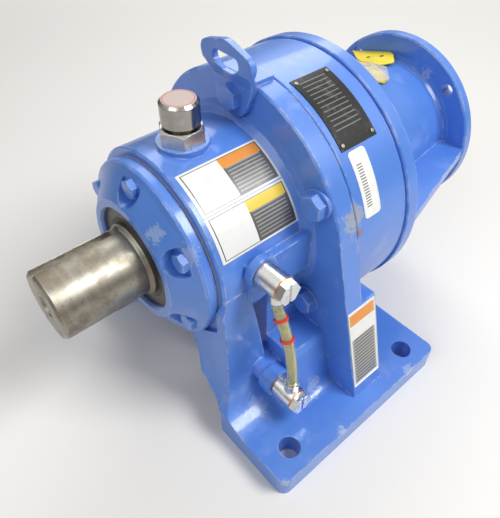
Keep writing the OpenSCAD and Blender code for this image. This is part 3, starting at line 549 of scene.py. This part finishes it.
@dataclass(frozen=True)
class PaintedCap(Plating):
    """A plated cap with dull paint and a thin ring on its flat top."""

    centre: tuple[float, float] = (-0.050, 0.0)
    paint: Colour = (0.47, 0.37, 0.33)
    paint_rough: float = 0.45
    ring: Colour = (0.50, 0.15, 0.12)
    ring_radius: float = 0.0108
    ring_width: float = 0.0005
    top_limits: Limits = (0.9, 0.97)

    def dress(self, graph: Graph, shader: bpy.types.Node, effects: EffectLibrary) -> None:
        """Adds the plating, then the paint where the face looks up.

        Args:
            graph: The material's graph.
            shader: The material's shader.
            effects: The effect groups.
        """
        super().dress(graph, shader, effects)
        plated = shader.inputs["Base Color"].links[0].from_socket
        upward = graph.parts(graph.add("NewGeometry").outputs["Normal"])[2]
        top = graph.step(upward, *self.top_limits)
        place = graph.parts(graph.place())
        radius = graph.length(*(graph.math("SUBTRACT", place[i], self.centre[i]) for i in range(2)))
        off_ring = graph.math("ABSOLUTE", graph.math("SUBTRACT", radius, self.ring_radius))
        paint = graph.mix(graph.math("LESS_THAN", off_ring, self.ring_width), self.paint, self.ring)
        graph.fill(shader, {
            "Base Color": graph.mix(top, plated, paint),
            "Metallic": graph.math("SUBTRACT", 1.0, top),
            "Roughness": graph.spread(top, self.roughness, self.paint_rough),
        })


@dataclass(frozen=True)
class Moulded(Finish):
    """Rubber, paper or plastic with a fine even grain."""

    grain: float = 1500.0
    depth: float = 0.00004
    dust: Colour = (0.30, 0.29, 0.27)
    dusty: float = 0.15
    uneven: float = 0.06

    def dress(self, graph: Graph, shader: bpy.types.Node, effects: EffectLibrary) -> None:
        """Adds the grain and the dust.

        Args:
            graph: The material's graph.
            shader: The material's shader.
            effects: The effect groups.
        """
        stains = effects.use(graph, Effect.STAIN, Scale=80.0, Amount=0.3)
        grain = graph.noise(graph.place(), self.grain, detail=2.0)
        graph.fill(shader, {
            "Base Color": graph.lay(self.base, stains["Stain"], self.dusty, self.dust),
            "Roughness": self.vary(graph, grain, self.uneven, self.uneven),
            "Normal": self.bump(graph, grain, self.depth),
        })


@dataclass(frozen=True)
class Clear(Finish):
    """Clear tube, film or oil."""

    index: float = 1.45
    through: float = 0.85
    uneven: float = 0.04
    clouds: float = 150.0
    light: float = 1.2

    def dress(self, graph: Graph, shader: bpy.types.Node, effects: EffectLibrary) -> None:
        """Lets light through, with a slight change of tone.

        Args:
            graph: The material's graph.
            shader: The material's shader.
            effects: The effect groups; not used here.
        """
        tone = graph.noise(graph.place(), self.clouds)
        graph.fill(shader, {
            "Transmission Weight": self.through,
            "IOR": self.index,
            "Base Color": graph.mix(tone, self.base, _shade(self.base, self.light)),
            "Roughness": self.vary(graph, tone, self.uneven, self.uneven),
        })


@dataclass(frozen=True)
class Panel:
    """A printed rectangle, from 0 to 1 across and down a label, and how its rules run."""

    ink: Colour
    left: float
    right: float
    top: float
    bottom: float
    rules: int = 0
    rule_ink: Colour = (0.34, 0.34, 0.33)
    rule_weight: float = 0.34
    rule_inset: float = 0.06


@dataclass(frozen=True)
class Printed(Finish):
    """A bare printed label: blocks of colour and plain rules, with no words."""

    panels: tuple[Panel, ...] = ()
    wrapped: bool = True
    shine: float = 0.5
    across: Limits = (0.0, 1.0)
    down: Limits = (0.0, 1.0)
    dust: Colour = (0.45, 0.43, 0.38)
    dusty: float = 0.18
    coat: float = 0.35
    coat_rough: float = 0.2
    waves: float = 120.0
    depth: float = 0.0001

    def dress(self, graph: Graph, shader: bpy.types.Node, effects: EffectLibrary) -> None:
        """Prints the panels and scuffs them.

        Args:
            graph: The material's graph.
            shader: The material's shader.
            effects: The effect groups.
        """
        if self.wrapped:
            spot = effects.use(graph, Effect.ROUND_SHAFT)
            first, second = spot["Along"], spot["Angle"]
        else:
            first, _, second = graph.parts(graph.place())
        share = (graph.share(first, *self.across), graph.share(second, *self.down))
        colour: Any = self.base
        for panel in self.panels:
            colour = self._panel(graph, effects, colour, share, panel)
        stains = effects.use(graph, Effect.STAIN, Scale=120.0, Amount=0.2)
        graph.fill(shader, {
            "Base Color": graph.lay(colour, stains["Stain"], self.dusty, self.dust),
            "Specular IOR Level": self.shine,
            "Coat Weight": self.coat,
            "Coat Roughness": self.coat_rough,
            "Normal": self.bump(graph, graph.noise(graph.place(), self.waves, detail=2.0), self.depth),
        })

    def _panel(
        self, graph: Graph, effects: EffectLibrary, under: Any, share: Sequence[Socket], panel: Panel
    ) -> Socket:
        """Prints one panel over what is under it.

        Args:
            graph: The material's graph.
            effects: The effect groups.
            under: The colour so far.
            share: The places across and down the label.
            panel: The panel to print.

        Returns:
            The colour with the panel on it.
        """
        across, down = share
        inside = effects.use(
            graph, Effect.PRINT, Across=across, Down=down,
            Left=panel.left, Right=panel.right, Top=panel.top, Bottom=panel.bottom,
        )["Mask"]
        ink: Any = panel.ink
        if panel.rules:
            rows = graph.times(graph.share(down, panel.top, panel.bottom), float(panel.rules))
            line = graph.math("LESS_THAN", graph.math("FRACT", rows), panel.rule_weight)
            inset = panel.rule_inset * (panel.right - panel.left)
            before = graph.math("LESS_THAN", across, panel.right - inset)
            after = graph.math("GREATER_THAN", across, panel.left + inset)
            ink = graph.mix(graph.times(line, graph.times(before, after)), panel.ink, panel.rule_ink)
        return graph.mix(inside, under, ink)


class FinishBook:
    """Builds each finish once and hands out its material."""

    def __init__(self, effects: EffectLibrary, finishes: Iterable[Finish]) -> None:
        """Builds the finishes."""
        self.materials = {finish.name: finish.build(effects) for finish in finishes}

    def __getitem__(self, name: str) -> bpy.types.Material:
        """Returns a material by its finish's name."""
        return self.materials[name]


@dataclass(frozen=True)
class Patch:
    """Where a wrapped label lies: along the shaft in metres, and round it in degrees from the top."""

    along: Limits
    around: Limits


FRONT_PATCH = Patch((-0.076, -0.005), (18.5, 43.0))
REAR_PATCH = Patch((-0.076, -0.005), (43.6, 67.8))
STRIP_PATCH = Patch((0.029, 0.046), (47.0, 73.0))
# the leg label's ends along the shaft, and its lower and upper edges
LEG_ALONG: Limits = (0.002, 0.034)
LEG_HEIGHTS: Limits = (0.034, 0.112)

ENAMEL_BLUE: Colour = (0.082, 0.230, 0.70)
# pale patches on the cover, the leg fillets, the pad edges and the bell: partly rubbed paint, partly painted
# highlight
PALE_RUB_AND_HIGHLIGHT: Colour = (0.55, 0.62, 0.72)
CHIP_PRIMER: Colour = (0.36, 0.37, 0.38)
CHIP_RUST: Colour = (0.30, 0.15, 0.08)
CHIPS_AND_HIGHLIGHTS = (
    SurfaceSpot((0.017, -0.106, 0.188), 0.016, 0.75, CHIP_PRIMER),
    SurfaceSpot((0.021, -0.111, 0.176), 0.005, 0.9, CHIP_RUST),
    SurfaceSpot((-0.100, -0.034, 0.196), 0.010, 0.36, PALE_RUB_AND_HIGHLIGHT),
    SurfaceSpot((-0.092, -0.058, 0.188), 0.012, 0.3, PALE_RUB_AND_HIGHLIGHT),
    SurfaceSpot((-0.070, -0.105, 0.030), 0.016, 0.25, PALE_RUB_AND_HIGHLIGHT),
    SurfaceSpot((-0.020, -0.122, 0.030), 0.014, 0.4, PALE_RUB_AND_HIGHLIGHT),
    SurfaceSpot((-0.097, -0.165, 0.020), 0.010, 0.5, PALE_RUB_AND_HIGHLIGHT),
    SurfaceSpot((-0.030, -0.165, 0.021), 0.008, 0.5, PALE_RUB_AND_HIGHLIGHT),
    SurfaceSpot((0.060, -0.165, 0.021), 0.010, 0.4, PALE_RUB_AND_HIGHLIGHT),
    SurfaceSpot((0.204, -0.030, 0.211), 0.008, 0.4, PALE_RUB_AND_HIGHLIGHT),
)
INK: Colour = (0.06, 0.06, 0.06)
INK_GREY: Colour = (0.10, 0.10, 0.095)
PLATE_BLACK: Colour = (0.009, 0.009, 0.009)
STRIP_WHITE: Colour = (0.86, 0.86, 0.84)
LABEL_WHITE: Colour = (0.82, 0.82, 0.80)
BAND_ORANGE: Colour = (0.78, 0.28, 0.03)
BAND_YELLOW: Colour = (0.80, 0.58, 0.03)
FRAME_LINE = 0.012
# a label is wider than it is tall, so a line of one weight takes a larger share of its height
FRAME_TALL = 1.4


def _framed(left: float, right: float, top: float, bottom: float) -> tuple[Panel, Panel]:
    """Returns a thin printed frame, as a dark panel with a white one inside it."""
    side, end = FRAME_LINE, FRAME_LINE * FRAME_TALL
    return (
        Panel(INK, left, right, top, bottom),
        Panel(LABEL_WHITE, left + side, right - side, top + end, bottom - end),
    )


def _two_part(band: Colour) -> tuple[Panel, ...]:
    """Returns a label with a framed blank half, and a banded half with rules."""
    split, right, band_top, band_end, bottom = 0.47, 0.953, 0.062, 0.30, 0.938
    return (
        *_framed(0.035, 0.965, 0.045, 0.955),
        Panel(band, split, right, band_top, band_end),
        Panel(INK_GREY, split, right, band_end, bottom, rules=8),
    )


FINISHES: tuple[Finish, ...] = (
    Enamel("blue_enamel", ENAMEL_BLUE, 0.36, chips_and_highlights=CHIPS_AND_HIGHLIGHTS),
    Enamel("blue_bolts", ENAMEL_BLUE, 0.34, wear=0.7, edge=0.0009, ripple=0.00012, skin=2.0),
    TurnedSteel("machined_steel", (0.33, 0.31, 0.26), 0.34, 0.97, stained=0.5),
    TurnedSteel("bearing_steel", (0.62, 0.61, 0.60), 0.2, 1.0, stained=0.05, depth=0.00001),
    TurnedSteel("dark_steel", (0.18, 0.175, 0.17), 0.38, 0.95, stained=0.3),
    Plating("zinc_plate", (0.74, 0.74, 0.73), 0.24, 1.0),
    # the cap's plating has a darker base than the breather body's: painted dark reflection on its sides
    PaintedCap("nickel_cap", (0.33, 0.315, 0.295), 0.17, 1.0, edge=0.0008),
    Plating("nickel_body", (0.50, 0.475, 0.44), 0.24, 1.0),
    TurnedSteel("seal_steel", (0.085, 0.075, 0.065), 0.34, 0.7, stained=0.25, depth=0.00001),
    Moulded("black_rubber", (0.018, 0.018, 0.018), 0.5),
    Moulded("gasket_paper", (0.50, 0.44, 0.34), 0.85),
    Plating("copper", (0.72, 0.36, 0.20), 0.3, 1.0),
    Clear("clear_tube", (0.88, 0.86, 0.62), 0.08),
    Clear("gear_oil", (0.60, 0.52, 0.12), 0.05, through=0.75),
    Moulded("red_band", (0.75, 0.03, 0.015), 0.35, dusty=0.05),
    Plating("cage_brass", (0.72, 0.52, 0.22), 0.3, 1.0),
    Printed(
        "black_plate", PLATE_BLACK, 0.46, shine=0.2, across=(0.025, 0.062), down=(14.0, 46.0),
        panels=(
            Panel(
                PLATE_BLACK, 0.08, 0.86, 0.08, 0.82,
                rules=12, rule_ink=(0.20, 0.20, 0.19), rule_weight=0.2,
            ),
        ),
    ),
    Printed(
        "label_front", LABEL_WHITE, 0.4,
        across=FRONT_PATCH.along, down=FRONT_PATCH.around, panels=_two_part(BAND_ORANGE),
    ),
    Printed(
        "label_rear", LABEL_WHITE, 0.4,
        across=REAR_PATCH.along, down=REAR_PATCH.around, panels=_two_part(BAND_YELLOW),
    ),
    Printed(
        "label_strip", STRIP_WHITE, 0.42, across=STRIP_PATCH.along[::-1], down=STRIP_PATCH.around,
        panels=(
            Panel(
                STRIP_WHITE, 0.46, 0.82, 0.20, 0.86,
                rules=16, rule_ink=(0.24, 0.24, 0.23), rule_weight=0.5,
            ),
        ),
    ),
    Printed(
        "label_leg", LABEL_WHITE, 0.42, wrapped=False, across=LEG_ALONG, down=LEG_HEIGHTS[::-1],
        panels=(
            Panel(BAND_ORANGE, 0.05, 0.95, 0.03, 0.17),
            Panel(
                (0.36, 0.36, 0.34), 0.07, 0.93, 0.36, 0.97,
                rules=14, rule_ink=(0.12, 0.12, 0.11), rule_weight=0.55,
            ),
        ),
    ),
    Moulded("tag_yellow", (0.88, 0.70, 0.02), 0.42, dusty=0.12),
    Clear("tag_film", (0.92, 0.93, 0.95), 0.16, through=0.8),
)
# nodes whose finish isn't their slot's
NODE_FINISHES: dict[str, str] = {
    "cover_bolts": "blue_bolts", "housing_bolts": "blue_bolts", "bolt_washers": "blue_bolts",
    "breather_body": "nickel_body",
}


# ---------- mesh work ----------


class Bench:
    """Operator helpers, which work on the piece in hand."""

    @staticmethod
    def clear() -> None:
        """Leaves edit mode and selects nothing."""
        if bpy.context.object is not None and bpy.context.object.mode != "OBJECT":
            bpy.ops.object.mode_set(mode="OBJECT")
        bpy.ops.object.select_all(action="DESELECT")

    @staticmethod
    def apply_place() -> None:
        """Puts the piece's place, turn and size into its mesh."""
        bpy.ops.object.transform_apply(location=True, rotation=True, scale=True)

    @staticmethod
    def edit(choose: Callable[[bmesh.types.BMesh], Iterable[Any]] | None = None) -> None:
        """Enters edit mode with a choice of parts selected.

        Args:
            choose: Picks the parts from the mesh; with none, all are selected.
        """
        piece = bpy.context.object
        bpy.ops.object.mode_set(mode="EDIT")
        bpy.ops.mesh.select_all(action="SELECT" if choose is None else "DESELECT")
        if choose is None:
            return
        mesh = bmesh.from_edit_mesh(piece.data)
        for part in choose(mesh):
            part.select_set(True)
        mesh.select_flush_mode()
        bmesh.update_edit_mesh(piece.data)

    @staticmethod
    def modify(kind: str, **settings: Any) -> None:
        """Adds a modifier and applies it.

        Args:
            kind: The modifier's type.
            **settings: The modifier's own properties.
        """
        piece = bpy.context.object
        modifier = piece.modifiers.new(kind.lower(), kind)
        for name, value in settings.items():
            setattr(modifier, name, value)
        bpy.ops.object.modifier_apply(modifier=modifier.name)

    @staticmethod
    def finish(name: str, material: bpy.types.Material) -> bpy.types.Object:
        """Merges doubles, turns faces outwards, applies the place and names the piece.

        Args:
            name: The piece's name.
            material: Its material.

        Returns:
            The finished piece.
        """
        piece = bpy.context.object
        bpy.ops.object.mode_set(mode="OBJECT")
        Bench.apply_place()
        Bench.edit()
        bpy.ops.mesh.remove_doubles(threshold=MERGE_DISTANCE)
        bpy.ops.mesh.normals_make_consistent(inside=False)
        bpy.ops.object.mode_set(mode="OBJECT")
        bpy.ops.object.shade_smooth_by_angle(angle=SMOOTH_ANGLE)
        piece.name = piece.data.name = name
        piece.data.materials.clear()
        piece.data.materials.append(material)
        Bench.clear()
        return piece


@dataclass
class WrappedLabel:
    """A thin label laid round the shaft axis, printed with the finish of its own name."""

    name: str
    patch: Patch
    radius: float
    slot: str = "black_plate"
    thickness: float = 0.0002
    corner: float = 0.0008
    steps: int = 12
    strip: float = 0.002

    def build(self, book: FinishBook) -> bpy.types.Object:
        """Spins the edge of a strip round the shaft, rounds its corners and gives it thickness.

        Args:
            book: The finishes.

        Returns:
            The label.
        """
        Bench.clear()
        start, end = self.patch.along
        top, bottom = self.patch.around
        turn = math.radians(top)
        place = (
            (start + end) / 2,
            -self.radius * math.sin(turn) + self.strip / 2,
            SHAFT_HEIGHT + self.radius * math.cos(turn),
        )
        bpy.ops.mesh.primitive_plane_add(size=1.0, location=place)
        bpy.context.object.scale = (end - start, self.strip, 1.0)
        Bench.apply_place()
        Bench.edit(lambda mesh: [v for v in mesh.verts if v.co.y > place[1]])
        bpy.ops.mesh.delete(type="VERT")
        bpy.ops.mesh.select_all(action="SELECT")
        bpy.ops.mesh.spin(
            steps=self.steps, angle=math.radians(top - bottom), center=tuple(SHAFT_CENTRE), axis=(1, 0, 0)
        )
        bpy.ops.object.mode_set(mode="OBJECT")
        Bench.edit(self._ends)
        bpy.ops.mesh.bevel(offset=self.corner, segments=CORNER_SEGMENTS, affect="VERTICES")
        bpy.ops.object.mode_set(mode="OBJECT")
        Bench.modify("SOLIDIFY", thickness=self.thickness, offset=0.0)
        piece = Bench.finish(self.name, book[self.name])
        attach(piece, "housing")
        return piece

    @staticmethod
    def _ends(mesh: bmesh.types.BMesh) -> list[bmesh.types.BMVert]:
        """Returns the label's four corner points."""
        return [v for v in mesh.verts if len(v.link_faces) == 1]


@dataclass
class LegLabel:
    """The label on the leaning outer face of the leg; its foot stands off the shaft axis by reach."""

    along: Limits = LEG_ALONG
    heights: Limits = LEG_HEIGHTS
    reach: float = 0.150
    reach_height: float = 0.022
    lean: float = 0.262
    thickness: float = 0.0003
    stand_off: float = 0.7
    corner: float = 0.0009
    steps: int = 8

    def build(self, book: FinishBook) -> bpy.types.Object:
        """Cuts an upright card into rows and leans them against the face.

        Args:
            book: The finishes.

        Returns:
            The label.
        """
        Bench.clear()
        (start, end), (low, high) = self.along, self.heights
        bpy.ops.mesh.primitive_cube_add(
            size=1.0, location=((start + end) / 2, -self._face(0.0), (low + high) / 2)
        )
        bpy.context.object.scale = (end - start, self.thickness, high - low)
        Bench.apply_place()
        Bench.edit(self._through)
        bpy.ops.mesh.bevel(offset=self.corner, segments=CORNER_SEGMENTS, affect="EDGES")
        for step in range(1, self.steps):
            level = low + (high - low) * step / self.steps
            bpy.ops.mesh.select_all(action="SELECT")
            bpy.ops.mesh.bisect(plane_co=(0.0, 0.0, level), plane_no=(0.0, 0.0, 1.0))
        mesh = bmesh.from_edit_mesh(bpy.context.object.data)
        for vert in mesh.verts:
            vert.co.y += self._face(0.0) - self._face(vert.co.z)
        bmesh.update_edit_mesh(bpy.context.object.data)
        piece = Bench.finish("leg_label", book["label_leg"])
        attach(piece, "housing")
        return piece

    def _face(self, height: float) -> float:
        """Returns how far the label's middle stands from the shaft axis at a height."""
        return self.reach - self.lean * (height - self.reach_height) + self.thickness * self.stand_off

    def _through(self, mesh: bmesh.types.BMesh) -> list[bmesh.types.BMEdge]:
        """Returns the card's four edges that run through its thickness."""
        return [e for e in mesh.edges if abs(e.verts[0].co.y - e.verts[1].co.y) > self.thickness / 2]


@dataclass(frozen=True)
class Drape:
    """The surface that the tag takes: over the adapter's bell, straight on to +Y, and up towards the flange."""

    radius: float = 0.0740
    at: float = 0.095
    taper: float = -0.1243
    leave: float = 0.278
    rise_from: float = 0.185
    rise: float = 0.26

    def height(self, x: float, y: float, lift: float) -> float:
        """Returns the height over a place.

        Args:
            x: The place along the shaft.
            y: The place across it.
            lift: How far the surface stands off the bell.

        Returns:
            The height above the floor.
        """
        radius = self.radius + self.taper * (x - self.at) + lift
        edge = self.leave * radius
        level = math.sqrt(radius * radius - min(y, edge) ** 2)
        level -= max(0.0, y - edge) * self.leave / math.sqrt(1.0 - self.leave * self.leave)
        return SHAFT_HEIGHT + level + max(0.0, x - self.rise_from) * self.rise


@dataclass
class TagPlate:
    """A thin piece of the tag, cut to a convex outline seen from above."""

    name: str
    finish: str
    slot: str
    outline: Outline
    holes: Outline = ()
    lift: float = 0.0012
    thickness: float = 0.0008
    hole_radius: float = 0.0022
    hole_sides: int = 24
    drill_length: float = 0.02
    creases: float = 0.0
    crease_size: float = 0.011
    crease_level: float = 0.1
    sheet: float = 0.12
    cells: int = 48
    drape: Drape = Drape()

    def build(self, book: FinishBook) -> bpy.types.Object:
        """Cuts the piece, lays it over the bell, thickens it and drills it.

        Args:
            book: The finishes.

        Returns:
            The piece.
        """
        Bench.clear()
        self._cut()
        for vert in bpy.context.object.data.vertices:
            vert.co.z = self.drape.height(vert.co.x, vert.co.y, self.lift)
        if self.creases:
            texture = bpy.data.textures.new(self.name + "_creases", "CLOUDS")
            texture.noise_scale = self.crease_size
            Bench.modify(
                "DISPLACE", texture=texture, strength=self.creases, mid_level=self.crease_level,
                texture_coords="GLOBAL",
            )
        Bench.modify("SOLIDIFY", thickness=self.thickness, offset=1.0)
        self._drill()
        piece = Bench.finish(self.name, book[self.finish])
        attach(piece, "housing")
        return piece

    def _cut(self) -> None:
        """Makes a flat sheet of small cells and cuts it along each side of the outline."""
        centre = sum((Vector(point) for point in self.outline), Vector((0.0, 0.0))) / len(self.outline)
        bpy.ops.mesh.primitive_grid_add(
            x_subdivisions=self.cells, y_subdivisions=self.cells, size=self.sheet,
            location=(centre.x, centre.y, 0.0),
        )
        Bench.apply_place()
        for start, end in zip(self.outline, self.outline[1:] + self.outline[:1]):
            side = Vector(end) - Vector(start)
            outward = Vector((side.y, -side.x)).normalized()
            if outward.dot(Vector(start) - centre) < 0:
                outward.negate()
            Bench.edit()
            bpy.ops.mesh.bisect(plane_co=(*start, 0.0), plane_no=(*outward, 0.0), clear_outer=True)
            bpy.ops.object.mode_set(mode="OBJECT")

    def _drill(self) -> None:
        """Drills the holes through the thickened sheet."""
        plate = bpy.context.object
        for x, y in self.holes:
            bpy.ops.mesh.primitive_cylinder_add(
                vertices=self.hole_sides, radius=self.hole_radius, depth=self.drill_length,
                location=(x, y, self.drape.height(x, y, self.lift)),
            )
            drill = bpy.context.object
            bpy.context.view_layer.objects.active = plate
            Bench.modify("BOOLEAN", object=drill, operation="DIFFERENCE", solver="EXACT")
            bpy.data.objects.remove(drill)
            plate.select_set(True)


TAG = (
    TagPlate(
        "tag_upper", "tag_yellow", "red_band",
        (
            (0.2007, 0.0580), (0.2018, 0.0340), (0.2018, 0.0140), (0.1990, 0.0080), (0.1889, -0.0012),
            (0.1754, 0.0009), (0.1672, 0.0039), (0.1700, 0.0220), (0.1840, 0.0383),
        ),
        holes=((0.1880, 0.0285), (0.1925, 0.0165)), lift=0.0021,
    ),
    TagPlate(
        "tag_lower", "tag_yellow", "red_band",
        (
            (0.1840, 0.0383), (0.1527, 0.0074), (0.1441, -0.0097), (0.1426, -0.0182), (0.1490, -0.0211),
            (0.1575, -0.0193),
        ),
        holes=((0.1586, 0.0054),),
    ),
    TagPlate(
        "tag_sleeve", "tag_film", "clear_tube",
        (
            (0.1550, 0.0140), (0.1382, 0.0027), (0.1384, -0.0170), (0.1429, -0.0220), (0.1552, -0.0214),
            (0.1690, -0.0066), (0.1660, 0.0040),
        ),
        lift=0.0034, thickness=0.0004, creases=0.003,
    ),
)


# ---------- studio ----------


@dataclass(frozen=True)
class Lamp:
    """A square lamp: its name, its place, its side in metres and its power in watts."""

    name: str
    place: Place
    side: float
    power: float

    def build(self, scene: bpy.types.Scene, target: Vector) -> None:
        """Hangs the lamp and turns it to what it lights.

        Args:
            scene: The scene.
            target: The point that the lamp faces.
        """
        light = bpy.data.lights.new(self.name, "AREA")
        light.size, light.energy = self.side, self.power
        lamp = bpy.data.objects.new(self.name, light)
        lamp.location = self.place
        lamp.rotation_euler = (target - Vector(self.place)).to_track_quat("-Z", "Y").to_euler()
        scene.collection.objects.link(lamp)


@dataclass
class Studio:
    """Floor, world, lamps and camera."""

    floor_colour: Colour = (0.84, 0.822, 0.79)
    floor_size: float = 8.0
    floor_rough: float = 0.7
    floor_clouds: float = 1.2
    floor_dark: float = 0.97
    far_limits: Limits = (0.7, 2.6)
    far_glow: float = 1.04
    world_colour: Colour = (0.93, 0.92, 0.90)
    world_level: float = 0.17
    mirror_heights: Limits = (0.05, 0.7)
    mirror_levels: Limits = (0.22, 1.0)
    camera_place: Place = (-0.22449, -0.27340, 0.43686)
    camera_turn: tuple[float, float, float] = (0.849189, 0.776604, -0.00184)
    focal: float = 532.636
    frame_width: int = 500
    shift: tuple[float, float] = (-0.00727, -0.01431)
    sensor_width: float = 36.0
    clip_start: float = 0.01
    lamp_target: Place = (0.02, 0.0, 0.13)
    lamps: tuple[Lamp, ...] = (
        Lamp("key", (0.55, -0.95, 1.45), 0.7, 24.0),
        Lamp("fill", (-1.1, -0.2, 1.2), 1.0, 8.0),
        Lamp("rim", (0.75, 0.8, 1.2), 0.9, 9.0),
    )

    def build(self) -> None:
        """Makes everything around the object."""
        scene = bpy.context.scene
        scene.view_settings.view_transform = "Standard"
        self._camera(scene)
        self._floor()
        self._world(scene)
        for lamp in self.lamps:
            lamp.build(scene, Vector(self.lamp_target))

    def _camera(self, scene: bpy.types.Scene) -> None:
        """Places the camera by its yaw, its pitch below level and its roll.

        Args:
            scene: The scene.
        """
        yaw, pitch, roll = self.camera_turn
        forward = Vector((math.cos(pitch) * math.cos(yaw), math.cos(pitch) * math.sin(yaw), -math.sin(pitch)))
        level = forward.cross(Vector((0, 0, 1))).normalized()
        right = Matrix.Rotation(roll, 3, forward) @ level
        up = right.cross(forward)
        lens = bpy.data.cameras.new("camera")
        lens.sensor_fit = "HORIZONTAL"
        lens.sensor_width = self.sensor_width
        lens.lens = self.focal / self.frame_width * self.sensor_width
        lens.shift_x, lens.shift_y = self.shift
        lens.clip_start = self.clip_start
        camera = bpy.data.objects.new("camera", lens)
        camera.matrix_world = Matrix.Translation(self.camera_place) @ Matrix(
            (right, up, -forward)
        ).transposed().to_4x4()
        scene.collection.objects.link(camera)
        scene.camera = camera

    def _floor(self) -> None:
        """Makes the pale floor, which the camera sees fade to one even pale tone far off."""
        Bench.clear()
        bpy.ops.mesh.primitive_plane_add(size=self.floor_size)
        floor = bpy.context.object
        floor.name = "floor"
        material, graph, shader = _start_material("floor")
        tone = graph.noise(graph.place(), self.floor_clouds, detail=2.0)
        x, y, _ = graph.parts(graph.place())
        far = graph.step(graph.length(x, y), *self.far_limits)
        graph.fill(shader, {
            "Base Color": graph.mix(tone, _shade(self.floor_colour, self.floor_dark), self.floor_colour),
            "Roughness": self.floor_rough,
            "Emission Strength": graph.times(far, graph.seen()),
            "Emission Color": _rgba(_shade(self.floor_colour, self.far_glow)),
        })
        floor.data.materials.append(material)

    def _world(self, scene: bpy.types.Scene) -> None:
        """Gives a soft even world, white to the camera and dark towards the horizon in reflections.

        Args:
            scene: The scene.
        """
        world = bpy.data.worlds.new("world")
        world.use_nodes = True
        scene.world = world
        graph = Graph(world.node_tree)
        back = next(node for node in world.node_tree.nodes if node.type == "BACKGROUND")
        glossy = graph.add("LightPath").outputs["Is Glossy Ray"]
        up = graph.parts(graph.add("TexCoord").outputs["Generated"])[2]
        mirrored = graph.spread(graph.step(up, *self.mirror_heights), *self.mirror_levels)
        level = graph.mix(glossy, (self.world_level,) * 3, mirrored)
        graph.fill(back, {"Color": _rgba(self.world_colour), "Strength": graph.mix(graph.seen(), level, WHITE)})


# ---------- the reducer ----------


@dataclass
class Reducer:
    """The whole part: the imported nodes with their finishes, and the thin trim on them."""

    frame: dict[str, Any]
    book: FinishBook
    drum_radius: float = 0.0802
    label_lift: float = 0.0002
    strip_corner: float = 0.003

    def dress_nodes(self) -> None:
        """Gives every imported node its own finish, or else its slot's."""
        slots = {part["node"]: part["material_slot"] for part in self.frame["record"]["subparts"]}
        for name, piece in self.frame["nodes"].items():
            finish = NODE_FINISHES.get(name, slots[name])
            for place in piece.material_slots:
                place.material = self.book[finish]
            LOG.info("node %s: %s", name, finish)

    def add_labels(self) -> None:
        """Lays the bare labels on the drum of the housing, on its ring and on its leg."""
        ring_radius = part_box("ring_housing")[1].z - SHAFT_HEIGHT + self.label_lift
        labels = (
            WrappedLabel("label_front", FRONT_PATCH, self.drum_radius),
            WrappedLabel("label_rear", REAR_PATCH, self.drum_radius),
            WrappedLabel("label_strip", STRIP_PATCH, ring_radius, corner=self.strip_corner),
            LegLabel(),
        )
        for label in labels:
            LOG.info("piece %s", label.build(self.book).name)

    def add_tag(self) -> None:
        """Lays the bare yellow tag and its clear sleeve on the adapter's bell."""
        for plate in TAG:
            LOG.info("piece %s", plate.build(self.book).name)


def main() -> None:
    """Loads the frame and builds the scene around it."""
    logging.basicConfig(level=logging.INFO, format="%(name)s: %(message)s")
    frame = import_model()
    Studio().build()
    reducer = Reducer(frame, FinishBook(EffectLibrary(), FINISHES))
    reducer.dress_nodes()
    reducer.add_labels()
    reducer.add_tag()


if __name__ == "__main__":
    main()
